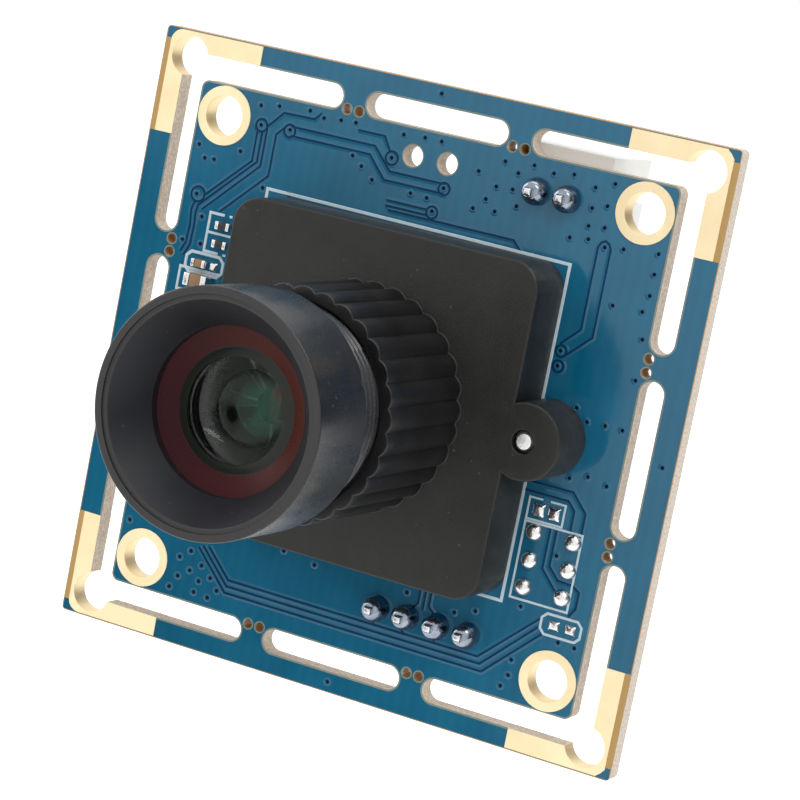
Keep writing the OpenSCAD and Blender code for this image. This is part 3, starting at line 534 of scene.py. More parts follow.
# an outline whose corners are rounded: each point is (a, b, radius), and a corner with a
# radius becomes an arc that touches both of its sides
def roundedOutline(corners, steps=5, closed=True):
    points = np.array([c[:2] for c in corners], float)
    out = []
    for i, corner in enumerate(corners):
        radius = corner[2]
        if radius == 0 or (not closed and i in (0, len(corners) - 1)):
            out.append(points[i:i + 1])  # a sharp corner or an end
            continue
        here = points[i]
        back, ahead = points[i - 1] - here, points[(i + 1) % len(points)] - here
        back, ahead = back / np.linalg.norm(back), ahead / np.linalg.norm(ahead)
        half = math.acos(max(-1, min(1, float(back @ ahead)))) / 2
        middle = (back + ahead) / np.linalg.norm(back + ahead) * radius / math.sin(half)
        reach = radius / math.tan(half)
        start, end = back * reach - middle, ahead * reach - middle
        t = np.linspace(0, 1, steps + 1)[:, None]
        swing = start * (1 - t) + end * t
        swing *= radius / np.linalg.norm(swing, axis=1)[:, None]
        out.append(here + middle + swing)
    return np.concatenate(out)


# a turned shape: the outline of (radius, height) points carried round the lens axis
def turned(outline, sides=160, closed=True, shape=None):
    angle = np.arange(sides)[:, None] * fullTurn / sides
    radius, height = outline[:, 0][None], outline[:, 1][None]
    if shape is not None:
        radius = shape(angle, radius, height)
    points = onBoard(radius * np.cos(angle), radius * np.sin(angle), height + 0 * angle)
    return points, gridQuads(sides, len(outline), wrapRows=True, wrapColumns=closed)


def movedTo(part, x, y, height=0.0):
    return part[0] + onBoard(x, y, height), part[1]


# a strip along a route: corners are mitred, and its section is a low trapezium
def strip(route, width, low, high, slope=0.0, closed=False):
    route = np.asarray(route, float)
    ahead = np.diff(np.vstack([route, route[:1]]) if closed else route, axis=0)
    ahead /= np.linalg.norm(ahead, axis=1)[:, None]
    before = np.roll(ahead, 1, 0) if closed else np.vstack([ahead[:1], ahead])
    after = ahead if closed else np.vstack([ahead, ahead[-1:]])
    along = (before + after) / np.linalg.norm(before + after, axis=1)[:, None]
    mitre = 1 / np.sum(along * after, axis=1)
    side = np.stack([-along[:, 1], along[:, 0]], 1) * mitre[:, None]
    across = np.array([width / 2, width / 2 - slope, slope - width / 2, -width / 2])
    x = route[:, :1] + side[:, :1] * across
    y = route[:, 1:] + side[:, 1:] * across
    points = onBoard(x, y, np.array([low, high, high, low])[None] + 0 * x)
    faces = gridQuads(len(route), 4, wrapRows=closed, wrapColumns=True)
    if not closed:
        last = (len(route) - 1) * 4
        faces += [[0, 1, 2, 3], [last + 3, last + 2, last + 1, last]]
    return points, faces


# heights off the board's front face of a node's two ends, and its radius or half width
def span(node):
    low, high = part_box(node)
    return -high.y / mm, -low.y / mm, high.x / mm


# holder moulding: foot with two screw ears and a fluted tube with the lens bore
holderShape = {
    "footHeight": 3.9, "footCorner": 1.65, "roofHeight": 2.6,
    "chamberHalf": 8.55, "chamberCorner": 0.8,
    "earReach": 11.0, "earRadius": 2.3, "pilotRadius": 0.72,
    "tubeRadius": 6.85, "ribs": 30, "ribRadius": 0.95,
    "ribSteps": 16, "earSteps": 40, "cornerSteps": 14,
    "boreRadius": 6.0, "mouthBevel": 0.15,
    "topRound": 0.14, "mouthRound": 0.09, "rootRound": 0.1, "pilotRound": 0.04,
}


# foot outline moved inwards by inset: corner arcs and, where the foot's straight side cuts
# an ear's circle, the rest of that circle
def footOutline(inset, half):
    s = holderShape
    centre, corner = half - s["footCorner"], s["footCorner"] - inset
    ear = s["earRadius"] - inset
    meet = math.degrees(math.acos((half - inset - s["earReach"]) / ear))
    arcs = [(s["earReach"], 0, ear, -meet, meet), (centre, centre, corner, 0, 90),
            (-centre, centre, corner, 90, 180),
            (-s["earReach"], 0, ear, 180 - meet, 180 + meet),
            (-centre, -centre, corner, 180, 270), (centre, -centre, corner, 270, 360)]
    runs = []
    for x, y, r, start, end in arcs:
        steps = s["earSteps"] if r == ear else s["cornerSteps"]
        angle = np.radians(np.linspace(start, end, steps))
        runs.append(np.stack([x + r * np.cos(angle), y + r * np.sin(angle)], 1))
    return np.concatenate(runs)


# rib outline round the tube: the far side of a circle of the rib's radius, in polar form
def fluteRadius(angle):
    s = holderShape
    share = angle * s["ribs"] / fullTurn - 0.5
    off = (share - np.round(share)) * fullTurn / s["ribs"]
    centre = s["tubeRadius"] - s["ribRadius"]
    return centre * np.cos(off) + np.sqrt(s["ribRadius"] ** 2 - (centre * np.sin(off)) ** 2)


def makeHolder():
    s = holderShape
    low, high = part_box("lens_holder")
    half, mouth = high.z / mm, -low.y / mm
    turn = np.linspace(0, math.pi / 2, 5)
    # foot walls with a rounded top edge
    rise = [(0.0, 0.0)] + [(s["topRound"] * (1 - math.cos(t)),
                            s["footHeight"] - s["topRound"] * (1 - math.sin(t))) for t in turn]
    rings = [onBoard(*footOutline(inset, half).T, height) for inset, height in rise]
    walls = np.concatenate(rings), gridQuads(len(rings), len(rings[0]), wrapColumns=True)
    # tube: root fillet, flutes, rounded mouth, then the bore down to the chamber's roof
    sides = s["ribs"] * s["ribSteps"]
    angle = np.arange(sides) * fullTurn / sides
    flute = fluteRadius(angle)
    steps = [(s["rootRound"] * (1 - math.sin(t)),
              s["footHeight"] + s["rootRound"] * (1 - math.cos(t))) for t in turn]
    steps += [(0.0, h) for h in np.linspace(s["footHeight"] + 1, mouth - 1, 4)]
    steps += [(-s["mouthRound"] * (1 - math.cos(t)), mouth - s["mouthRound"] * (1 - math.sin(t)))
              for t in turn]
    radii = [flute + out for out, _ in steps]
    heights = [height for _, height in steps]
    for r, height in ((s["boreRadius"] + s["mouthBevel"], mouth),
                      (s["boreRadius"], mouth - s["mouthBevel"]),
                      (s["boreRadius"], s["roofHeight"])):
        radii.append(np.full(sides, r))
        heights.append(height)
    radii = np.array(radii)
    tube = (onBoard(radii * np.cos(angle), radii * np.sin(angle), np.array(heights)[:, None]),
            gridQuads(len(heights), sides, wrapColumns=True))
    # chamber over the sensor, and the pilot holes with a small lead-in
    c = s["chamberHalf"] - s["chamberCorner"]
    room = arcOutline([(x * c, y * c, s["chamberCorner"], start, start + 90)
                       for x, y, start in ((1, 1, 0), (-1, 1, 90), (-1, -1, 180), (1, -1, 270))])
    chamber = (np.concatenate([onBoard(*room.T, 0.0), onBoard(*room.T, s["roofHeight"])]),
               gridQuads(2, len(room), wrapColumns=True))
    wide = s["pilotRadius"] + s["pilotRound"]
    pilot = turned(np.array([(s["pilotRadius"], 0.0),
                             (s["pilotRadius"], s["footHeight"] - s["pilotRound"]),
                             (wide, s["footHeight"])]), sides=40, closed=False)
    pilots = [movedTo(pilot, side * s["earReach"], 0.0) for side in (-1, 1)]
    makePiece("holder_moulding", gathered([walls, tube, chamber] + pilots), "holder_plastic",
              fixedBody, ["lens_holder"], fill=(0.0, s["roofHeight"], s["footHeight"]))


makeHolder()
print("holder made")

# screw-in barrel with its thread, and the ring in its head
barrelShape = {
    "shank": 5.95, "headRear": 16.0, "headBevel": 0.4, "rim": 0.45,
    "bore": 4.35, "seat": 5.15, "seatFloor": 17.25, "seatTop": 18.85,
    "edgeRound": 0.1, "backRound": 0.06, "boreRound": 0.05, "rimRound": 0.01,
    # a nick in the head's back edge
    "chipAt": math.radians(25.5), "chipWide": 0.035, "chipDeep": 0.32, "chipReach": 0.2,
    "chipBack": 0.01,
    "lipRadius": 3.4, "lipLow": 7.65, "lipHigh": 8.45,
    "pitch": 0.5, "threadDepth": 0.26, "threadFrom": 6.1, "threadTo": 15.7,
    "threadFade": 0.3, "threadEnd": 0.1, "stepsPerPitch": 6,
}


def makeBarrel():
    s = barrelShape
    rear, front, head = span("lens_barrel")
    b, inner = s["headBevel"], head - s["rim"]
    run = np.arange(s["threadTo"], s["threadFrom"], -s["pitch"] / s["stepsPerPitch"])
    above = roundedOutline([
        (inner, s["seatTop"], 0), (inner, front, s["rimRound"]), (head, front, s["edgeRound"]),
        (head, s["headRear"] + b, s["edgeRound"]), (head - b, s["headRear"], s["backRound"]),
        (s["shank"], s["headRear"], 0)], closed=False)
    below = roundedOutline([
        (s["shank"], s["threadFrom"] - s["threadEnd"], 0), (s["shank"], rear + b, s["edgeRound"]),
        (s["shank"] - b, rear, s["boreRound"]), (s["bore"], rear, s["boreRound"]),
        (s["bore"], s["lipLow"], 0), (s["lipRadius"], s["lipLow"], s["edgeRound"]),
        (s["lipRadius"], s["lipHigh"], s["edgeRound"]), (s["bore"], s["lipHigh"], 0),
        (s["bore"], s["seatFloor"], s["boreRound"]), (s["seat"], s["seatFloor"], 0),
        (s["seat"], s["seatTop"], 0)], closed=False)
    threadLine = np.stack([np.full(len(run), s["shank"]), run], 1)
    outline = np.concatenate([above, threadLine, below])

    # a helical groove: its depth is a triangle wave of the height less the pitch times the turn
    def groove(angle, radius, height):
        wave = np.abs(((height / s["pitch"] - angle / fullTurn) % 1.0) * 2 - 1)
        ends = np.minimum(height - s["threadFrom"], s["threadTo"] - height) / s["threadFade"]
        onShank = np.abs(radius - s["shank"]) < 1e-6
        away = ((angle - s["chipAt"]) / s["chipWide"]) ** 2
        low = np.clip((s["headRear"] + b + s["chipReach"] - height) / b, 0, 1)
        onHead = (radius > s["shank"] + s["chipReach"]) * (height > s["headRear"] - s["chipBack"])
        nick = s["chipDeep"] * np.exp(-away) * low * onHead
        return radius - onShank * np.clip(ends, 0, 1) * s["threadDepth"] * wave - nick

    makePiece("threaded_barrel", turned(outline, 288, shape=groove), "barrel_metal", lensBody,
              ["lens_barrel"], sharp=28.0)


ringShape = {"view": 4.7, "crown": 0.3, "throat": 0.5, "under": 0.008, "overlap": 0.03,
             "crownRound": 0.08, "throatRound": 0.06}


def makeRetainingRing():
    s = ringShape
    back, front, outer = span("front_retaining_ring")
    edge, front, crown = back + s["throat"], front - s["under"], outer - s["crown"]
    rim = outer + s["overlap"]
    outline = roundedOutline([(s["view"], back, 0), (rim, back, 0), (rim, front, 0),
                              (crown, front, s["crownRound"]), (s["view"], edge, s["throatRound"])])
    makePiece("turned_retaining_ring", turned(outline), "ring_metal", lensBody,
              ["front_retaining_ring"])


makeBarrel()
makeRetainingRing()
print("barrel and ring made")


# ball cap over a circle: radius r rises by rise; points run from the axis outwards
def capCurve(r, rise, base, steps=14):
    ball = (r * r + rise * rise) / (2 * abs(rise))
    t = np.linspace(0, math.asin(r / ball), steps)
    up = ball * np.cos(t) - (ball - abs(rise))
    return np.stack([ball * np.sin(t), base + math.copysign(1, rise) * up], 1)


glassShape = {
    "frontEdge": 0.9, "frontDome": 3.5, "frontStep": 0.13, "frontRise": 0.67, "edgeFlare": 0.03,
    "bevel": 2.95, "bevelLift": 0.015, "bevelBack": 0.02, "hollow": 3.0, "hollowDepth": 1.0,
    "secondEdge": 1.5, "secondDome": 2.25, "secondHollow": 2.9, "secondDepth": 1.05,
    "innerRise": 0.4, "dome": 3.65, "thirdEdge": 1.2, "rearEdge": 1.3,
}


def makeElement(name, outline, sides, finish, node):
    makePiece(name, turned(outline, sides, closed=False), finish, glassBody, [node])


# glass elements: two ball caps joined by the ground edge of the lens
def makeGlasses():
    s = glassShape
    low, r = span("front_element")[::2]
    top = low + s["frontEdge"]
    step = top + s["frontStep"]
    front = np.concatenate([capCurve(s["frontDome"], s["frontRise"], step),
                            [[s["frontDome"] + s["edgeFlare"], top], [r, top], [r, low]],
                            capCurve(s["hollow"], s["hollowDepth"], low)[::-1]])
    makeElement("front_glass", front, 144, "coated_glass", "front_element")
    # blackened bevel: the outer part of the dome, a hair above the glass
    dome = capCurve(s["frontDome"], s["frontRise"], step, 60)
    dome = dome[dome[:, 0] > s["bevel"]] + (0.0, s["bevelLift"])
    under = top + s["bevelBack"]
    bevel = np.concatenate([dome, [[r, step], [r, under], [s["bevel"], under]]])
    makePiece("front_bevel", turned(bevel, 144), "bevel_black", glassBody)
    low, r = span("second_element")[::2]
    top = low + s["secondEdge"]
    second = np.concatenate([capCurve(s["secondDome"], s["innerRise"], top), [[r, top], [r, low]],
                             capCurve(s["secondHollow"], s["secondDepth"], low)[::-1]])
    makeElement("second_glass", second, 128, "coated_glass_teal", "second_element")
    high, r = span("third_element")[1:]
    third = np.concatenate([[[0, high], [r, high], [r, high - s["thirdEdge"]]],
                            capCurve(s["dome"], -s["innerRise"], high - s["thirdEdge"])[::-1]])
    makeElement("third_glass", third, 96, "coated_glass_pink", "third_element")
    low, r = span("rear_element")[::2]
    rear = np.concatenate([capCurve(s["dome"], s["innerRise"], low + s["rearEdge"]),
                           [[r, low + s["rearEdge"]], [r, low], [0, low]]])
    makeElement("rear_glass", rear, 96, "coated_glass_green", "rear_element")
    low, high, r = span("infrared_filter")
    plate = np.array([(0, high), (r, high), (r, low), (0, low)])
    makeElement("filter_plate", plate, 96, "filter_glass", "infrared_filter")


# turned rings of the stack, as (node, finish, inner radius, its height, inner radius in
# front, edge round): the inside is a cone from that height to the front
stackRings = [("front_shim", "red_shim", 3.55, 0.15, 4.75, 0.05),
              # the front spacer and the stop carry a painted edge highlight
              ("front_spacer", "ground_edge_painted_glint", 2.3, 0.3, 3.0, 0.12),
              ("middle_spacer", "spacer_metal", 2.9, 2.0, 2.9, 0.05),
              ("aperture_stop", "ground_edge_painted_glint", 1.3, 0.1, 1.3, 0.04),
              ("rear_spacer", "spacer_metal", 3.7, 1.0, 3.7, 0.05)]


def makeStackRings():
    for node, finish, inner, lip, opening, edge in stackRings:
        low, high, r = span(node)
        outline = roundedOutline([(opening, high, edge), (r, high, edge), (r, low, edge),
                                  (inner, low, edge), (inner, low + lip, edge)])
        makePiece("turned_" + node, turned(outline, 128), finish, glassBody, [node])


makeGlasses()
makeStackRings()
print("lens stack made")

# what lies on the board: lacquered tracks, vias, printed lines and bare rims
boardShape = {
    "inner": 15.9, "slot": 1.5, "midSlot": 4.7, "tab": 1.6, "innerCorner": 0.5,
    "padStart": 12.2, "rimWidth": 0.11, "rimLift": 0.004, "hoopShare": 0.7,
    "bite": 0.3, "bitePitch": 0.82, "biteOut": 0.15,
    "spare": 0.65, "spareX": 0.1, "spareY": 14.2, "sparePitch": 2.3,
}


def quarterTurns(points):
    x, y = points[:, 0], points[:, 1]
    return [np.stack(pair, 1) for pair in ((x, y), (-y, x), (-x, -y), (y, -x))]


# bare rims of the routed slots, the tabs' small holes and the two spare holes
def makeBareRims():
    s = boardShape
    half, w = s["slot"] / 2, s["rimWidth"]
    middle, out = s["inner"] + half, half + w / 2
    end = s["midSlot"] - half
    ring = arcOutline([(end, middle, out, -90, 90), (-end, middle, out, 90, 270)])
    start = s["midSlot"] + s["tab"] + half
    corner = s["inner"] - s["innerCorner"]
    far, near = s["inner"] + s["slot"] + w / 2, s["innerCorner"] - w / 2
    arm = arcOutline([(s["padStart"], far, 0, 0, 0), (start, middle, out, 90, 270),
                      (corner, corner, near, 90, 0), (middle, start, out, 180, 360),
                      (far, s["padStart"], 0, 0, 0)])
    parts = [strip(r, w, 0.0, s["rimLift"], closed=True) for r in quarterTurns(ring)]
    parts += [strip(r, w, 0.0, s["rimLift"]) for r in quarterTurns(arm)]
    bites = [(k * (s["midSlot"] + s["tab"] / 2) + t * s["bitePitch"] / 2, s["inner"] + s["biteOut"])
             for k in (-1, 1) for t in (-1, 1)]
    bites = np.concatenate(quarterTurns(np.array(bites)))
    spares = [(s["spareX"] + k * s["sparePitch"] / 2, s["spareY"]) for k in (-1, 1)]
    for radius, places in ((s["bite"], bites), (s["spare"], spares)):
        wide = radius + w * s["hoopShare"]
        hoop = turned(np.array([(radius, 0.0), (radius, s["rimLift"]), (wide, s["rimLift"]),
                                (wide, 0.0)]), 28)
        parts.append(scattered(hoop, places))
    makePiece("bare_rims", gathered(parts), "bare_laminate", fixedBody)


# the gaps beside the tracks, in millimetres on the board: each is a dark line
# with a raised lip of lacquer along both sides
trackPlan = {
    "lip": 0.4, "slope": 0.13, "gap": 0.12, "lift": 0.01, "step": 0.0002,
    "routes": [
        [(-9.4, 14.28), (-3.6, 14.28), (-2.35, 13.0), (1.35, 13.0)],
        [(-9.3, 13.72), (-3.85, 13.72), (-2.62, 12.43), (1.35, 12.43)],
        [(-10.95, 13.95), (-10.0, 14.98), (-7.9, 15.02), (-7.5, 15.45)],
        [(-4.9, 14.98), (-3.1, 14.98), (-2.6, 14.2)],
        [(-11.56, 13.65), (-11.56, 11.7), (-14.4, 8.95)],
        [(-14.93, 8.5), (-15.07, 7.95), (-14.96, 7.0), (-15.04, 5.9), (-15.3, 5.3)],
        [(-11.22, 13.55), (-11.22, 11.7), (-14.67, 8.3), (-14.73, 7.8), (-14.67, 7.0),
         (-14.72, 5.8), (-15.05, 5.1)],
        [(-10.93, 13.9), (-10.93, 11.5), (-14.35, 8.1)],
        [(-9.7, 14.2), (-10.27, 13.6), (-10.27, 11.03), (-13.13, 8.2)],
        [(-2.2, 11.3), (0.5, 11.3)], [(-2.2, 10.98), (0.55, 10.98)],
        [(-2.0, 10.74), (6.35, 10.74), (6.95, 10.15)],
        [(10.5, 5.5), (11.6, 6.6), (11.6, 11.5), (11.75, 11.8), (12.0, 11.93), (12.25, 11.8),
         (12.4, 11.5), (12.4, 6.3), (10.9, 4.85)],
        [(10.2, -2.74), (13.2, -2.74), (14.2, -3.8), (14.2, -5.0)],
        [(10.2, -3.32), (13.0, -3.32), (13.5, -3.82), (13.5, -5.0)],
        [(12.26, -5.2), (12.26, -7.6), (13.3, -8.7)],
        [(12.66, -5.2), (12.66, -7.35), (13.35, -8.05), (14.3, -8.1), (14.8, -8.4), (14.8, -9.4),
         (14.45, -9.95)],
        [(-9.5, -12.1), (-7.8, -13.8), (9.36, -13.8), (13.0, -10.3)],
        [(-9.9, -12.15), (-7.85, -14.2), (9.58, -14.2), (12.8, -11.0)],
        [(-10.2, -12.3), (-7.9, -14.62), (9.78, -14.62), (13.05, -11.4)],
        [(4.96, -10.6), (4.96, -11.75), (4.5, -12.2)], [(5.32, -10.6), (5.32, -12.1)],
        [(5.68, -10.6), (5.68, -11.75), (6.1, -12.1)],
        [(2.1, -13.5), (2.4, -13.75)], [(4.1, -13.5), (4.4, -13.75)],
        [(6.1, -13.45), (6.5, -13.75)]],
    # round gaps, as (x, y, radius)
    "loops": [(-11.35, 13.95, 0.38), (-9.4, 14.0, 0.38), (-14.8, 8.97, 0.46), (1.35, 12.72, 0.36),
              (0.87, 11.2, 0.36), (-2.38, 13.8, 0.4), (10.66, 5.1, 0.34), (10.66, 4.2, 0.34)],
}

viaPlan = {
    "hole": 0.11, "ring": 0.27, "rise": 0.02,
    "wall": 0.02, "crest": 0.08, "shoulder": 0.04, "plugLift": 0.006,
    "places": [
        (-11.65, 15.1), (-10.4, 15.3), (-8.3, 15.45), (-7.3, 15.2), (-6.15, 15.3), (-5.15, 15.35),
        (-11.4, 13.95), (-9.4, 14.05), (-15.35, 11.95), (-12.45, 12.1), (-14.8, 11.2),
        (-14.15, 11.25), (-10.5, 10.25), (-14.9, 8.95), (-14.25, 7.65), (-15.3, 6.0), (-14.0, 6.0),
        (-4.95, 13.4), (-8.7, 10.2), (-1.9, 15.3), (-0.5, 15.4), (0.6, 15.4), (-2.4, 13.8),
        (-4.25, 12.9), (-3.4, 12.25), (-0.75, 12.0), (0.35, 11.95), (1.3, 12.75), (0.85, 11.25),
        (3.3, 14.2), (4.6, 13.55), (4.1, 12.7), (3.4, 12.0), (4.8, 12.1), (4.85, 15.1), (5.8, 14.6),
        (5.65, 13.6), (6.1, 12.7), (6.7, 15.25), (8.0, 15.05), (9.25, 15.25), (9.75, 11.65),
        (10.7, 14.8), (11.85, 15.25), (11.65, 13.9), (10.75, 13.6), (10.75, 12.55), (11.75, 12.65),
        (10.9, 11.8), (13.15, 11.7), (12.0, 11.55), (15.3, 11.9), (15.3, 10.7), (15.3, 9.45),
        (13.2, 8.4), (15.05, 8.45), (15.4, 6.9), (10.6, 5.1), (10.6, 4.2), (15.5, 4.5), (12.3, 2.1),
        (13.1, 1.45), (14.25, 1.5), (15.35, 1.5), (13.85, -1.65), (12.75, -2.0), (15.1, -1.9),
        (18.2, 0.0), (12.95, -6.65), (11.4, -10.15), (8.65, -11.2), (7.35, -11.65), (14.15, -11.6),
        (15.2, -11.65), (11.5, -13.4), (11.5, -14.35), (11.15, -15.1), (-15.35, -11.9),
        (-10.7, -12.7), (-11.4, -13.25), (-9.8, -13.4), (-10.55, -13.9), (-9.05, -14.0),
        (-11.3, -14.45), (-9.8, -14.4), (-8.45, -14.65), (-11.75, -15.25), (-10.0, -15.15),
        (-9.0, -15.25), (-4.45, -11.0), (-2.25, -11.3), (4.1, -11.3), (0.1, -18.05), (0.0, 18.15)],
}

# printed lines, as (width, closed, route): the square round the foot and the parts' boxes
inkPlan = {
    "lift": 0.034, "liftStep": 0.0007, "slope": 0.02,
    "lines": [
        (0.2, True, [(-10.15, -10.15), (10.12, -10.15), (10.12, 10.12), (-10.15, 10.28)]),
        (0.14, True, [(10.6, -5.1), (14.3, -5.1), (14.3, -9.75), (10.6, -9.75)]),
        (0.13, False, [(11.45, -3.65), (10.6, -3.65), (10.6, -4.95), (12.9, -4.95), (12.9, -3.65),
                       (11.95, -3.65)]),
        (0.16, True, [(13.15, -10.1), (15.1, -10.1), (15.4, -10.4), (15.4, -11.05), (15.1, -11.35),
                      (13.15, -11.35), (12.85, -11.05), (12.85, -10.4)]),
        (0.18, False, [(-12.7, 8.05), (-13.7, 8.05), (-13.7, 5.65), (-12.7, 5.65)]),
        (0.16, False, [(-13.7, 6.85), (-11.7, 6.85)]),
        (0.2, True, [(-14.5, 5.45), (-12.5, 5.45), (-12.2, 5.15), (-12.2, 4.5), (-12.5, 4.2),
                     (-14.5, 4.2), (-14.8, 4.5), (-14.8, 5.15)]),
        (0.18, False, [(-12.3, 4.4), (-15.1, 4.4), (-15.1, 3.0), (-12.2, 3.0)]),
        (0.16, False, [(-12.35, 8.05), (-12.15, 8.05)]),
        (0.16, False, [(-12.35, 5.65), (-12.15, 5.65)])],
}


def makeBoardLayers():
    t, v = trackPlan, viaPlan
    routes = [(r, False) for r in t["routes"]]
    routes += [(arcOutline([(x, y, r, 0, 350)], 10.0), True) for x, y, r in t["loops"]]
    lips = [strip(r, t["lip"], 0.0, t["lift"] + i * t["step"], t["slope"], closed)
            for i, (r, closed) in enumerate(routes)]
    makePiece("lacquered_tracks", gathered(lips), "track_lacquer", fixedBody)
    top = t["lift"] + len(routes) * t["step"]
    gaps = [strip(r, t["gap"], 0.0, top + i * t["step"], 0.0, closed)
            for i, (r, closed) in enumerate(routes)]
    makePiece("track_gaps", gathered(gaps), "gap_lacquer", fixedBody)
    rise, hole, ring = v["rise"], v["hole"], v["ring"]
    wall = hole + v["wall"]
    collar = turned(np.array([(hole, 0.0), (wall, rise), (hole + v["crest"], rise * 1.2),
                              (ring - v["shoulder"], rise * 0.7), (ring, 0.0)]), 18)
    makePiece("via_collars", scattered(collar, v["places"]), "track_lacquer", fixedBody)
    plug = turned(np.array([(0.0, v["plugLift"]), (wall, v["plugLift"]), (wall, 0.0),
                            (0.0, 0.0)]), 14, closed=False)
    makePiece("via_plugs", scattered(plug, v["places"]), "via_hole", fixedBody)
    p = inkPlan
    ink = [strip(route, width, 0.0, p["lift"] + i * p["liftStep"], p["slope"], closed)
           for i, (width, closed, route) in enumerate(p["lines"])]
    makePiece("printed_lines", gathered(ink), "marking_ink", fixedBody)


makeBareRims()
makeBoardLayers()
print("board layers made")

# solder: bell-shaped joints round the pins and round domes at the six holes
solderShape = {
    "joint": 0.82, "tip": 0.3, "jointRise": 1.12, "pins": 2.0,
    "usb": (5.4, -12.75, 4), "aux": (8.15, 13.8, 2),
    "dome": 0.52, "domeTip": 0.05, "domeRise": 0.42, "domes": (12.6, -7.3, 2.5, 1.65),
    "flare": 0.9, "toe": 0.04, "undercut": 0.96, "swell": 0.05, "lean": 0.08,
    "padRise": 0.16, "padFoot": 0.05, "padLean": 0.5, "domeSeed": 20, "padSeed": 40,
    # middle and size of each bare pad
    "pads": [(11.3, -4.3, 0.75, 0.75), (12.3, -4.3, 0.75, 0.75), (13.7, -10.7, 0.65, 0.55),
             (14.75, -10.7, 0.65, 0.55), (-12.8, 4.8, 0.5, 0.5)],
}


# bell: the radius falls from foot to tip as the cosine while the height rises as the sine,
# and each copy leans and swells a little differently
def solderBell(radius, tip, rise, seed, sides=28):
    s = solderShape
    wobble = np.random.default_rng(seed).uniform(-1, 1, 4)
    t = np.linspace(0, math.pi / 2, 9)
    side = np.stack([tip + (radius - tip) * np.cos(t) ** s["flare"],
                     s["toe"] + (rise - s["toe"]) * np.sin(t)], 1)
    outline = np.concatenate([[[0.0, 0.0], [radius * s["undercut"], 0.0]], side, [[0.0, rise]]])
    angle = np.arange(sides)[:, None] * fullTurn / sides
    share = outline[:, 1][None] / rise
    grown = outline[:, 0][None] * (1 + s["swell"] * wobble[0] * np.sin(angle + 3 * wobble[1]))
    x = grown * np.cos(angle) + s["lean"] * wobble[2] * share * (1 - share) * 2
    y = grown * np.sin(angle) + s["lean"] * wobble[3] * share * (1 - share) * 2
    height = outline[:, 1][None] + 0 * angle
    return onBoard(x, y, height), gridQuads(sides, len(outline), wrapRows=True)


# pillow: height = rise (1 - u^4)(1 - v^4) over the pad, tipped a little to one side
def solderPillow(x, y, wide, high, seed, count=12):
    s = solderShape
    lean = np.random.default_rng(seed).uniform(-s["padLean"], s["padLean"], 2)
    u, v = np.meshgrid(np.linspace(-1, 1, count), np.linspace(-1, 1, count), indexing="ij")
    rise = s["padFoot"] + (s["padRise"] * (1 - u ** 4) * (1 - v ** 4)
                           * (1 + lean[0] * u + lean[1] * v))
    top = onBoard((x + u * wide / 2).ravel(), (y + v * high / 2).ravel(), rise.ravel())
    corner = onBoard(np.array([-1, 1, 1, -1]) * wide / 2 + x,
                     np.array([-1, -1, 1, 1]) * high / 2 + y, 0)
    last, steps = count * count, range(count)
    faces = gridQuads(count, count) + [[last + k for k in range(4)]]
    edges = [[k * count for k in steps], [(count - 1) * count + k for k in steps],
             [last - 1 - k * count for k in steps], [count - 1 - k for k in steps]]
    faces += [edge + [last + (i + 1) % 4, last + i] for i, edge in enumerate(edges)]
    return np.concatenate([top, corner]), faces


def pinPlaces(x, y, count):
    return [(x + (i - (count - 1) / 2) * solderShape["pins"], y) for i in range(count)]


def makeSolder():
    s = solderShape
    places = pinPlaces(*s["usb"]) + pinPlaces(*s["aux"])
    bells = [movedTo(solderBell(s["joint"], s["tip"], s["jointRise"], seed), *place)
             for seed, place in enumerate(places)]
    makePiece("pin_solder_bells", gathered(bells), "solder_painted_dark", fixedBody,
              ["pin_solder_joints"])
    x, y, across, along = s["domes"]
    spots = [(x + i * across / 2, y + j * along) for i in (-1, 1) for j in (-1, 0, 1)]
    domes = [movedTo(solderBell(s["dome"], s["domeTip"], s["domeRise"], s["domeSeed"] + k), *spot)
             for k, spot in enumerate(spots)]
    back = span("circuit_board")[0]
    under = [(points * np.array([1, -1, 1]) + np.array([0, -back * mm, 0]),
              [face[::-1] for face in faces]) for points, faces in domes]
    makePiece("header_solder_domes", gathered(domes + under), "solder", fixedBody,
              ["header_solder_joints"])
    pillows = [solderPillow(*pad, s["padSeed"] + k) for k, pad in enumerate(s["pads"])]
    makePiece("pad_solder_pillows", gathered(pillows), "solder", fixedBody, ["bare_solder_pads"])


makeSolder()

# CAD nodes kept as they are in shape, with their edges broken, as (node, finish, edge)
dressedNodes = [
    ("frame_corner_pads", "gold_plate", 0.012), ("mounting_hole_rings", "gold_plate", 0.015),
    ("sensor_package", "sensor_ceramic", 0.05), ("sensor_die", "silicon", 0.01),
    ("sensor_cover_glass", "filter_glass", 0.02), ("holder_screws", "screw_steel", 0.06),
    ("usb_connector_housing", "connector_nylon", 0.08),
    ("usb_connector_pins", "tinned_metal", 0.04),
    ("aux_connector_housing", "connector_nylon", 0.08),
    ("aux_connector_pins", "tinned_metal", 0.04),
    ("video_processor", "chip_epoxy", 0.04), ("video_processor_leads", "tinned_metal", 0.02),
    ("flash_chip", "chip_epoxy", 0.05), ("flash_chip_leads", "tinned_metal", 0.025),
    ("crystal", "crystal_can", 0.06), ("voltage_regulators", "chip_epoxy", 0.04),
    ("voltage_regulator_leads", "tinned_metal", 0.02), ("usb_choke", "choke_ferrite", 0.05),
    ("capacitor_bodies", "capacitor_ceramic", 0.03), ("capacitor_end_caps", "solder", 0.06),
    ("resistor_bodies", "resistor_black", 0.02), ("resistor_end_caps", "solder", 0.05)]
for node, finish, edge in dressedNodes:
    dressed(node, finish, edge)
board = nodes["circuit_board"]
board.data.materials.clear()
board.data.materials.append(finishes["solder_mask"][0])
print("CAD pieces dressed")

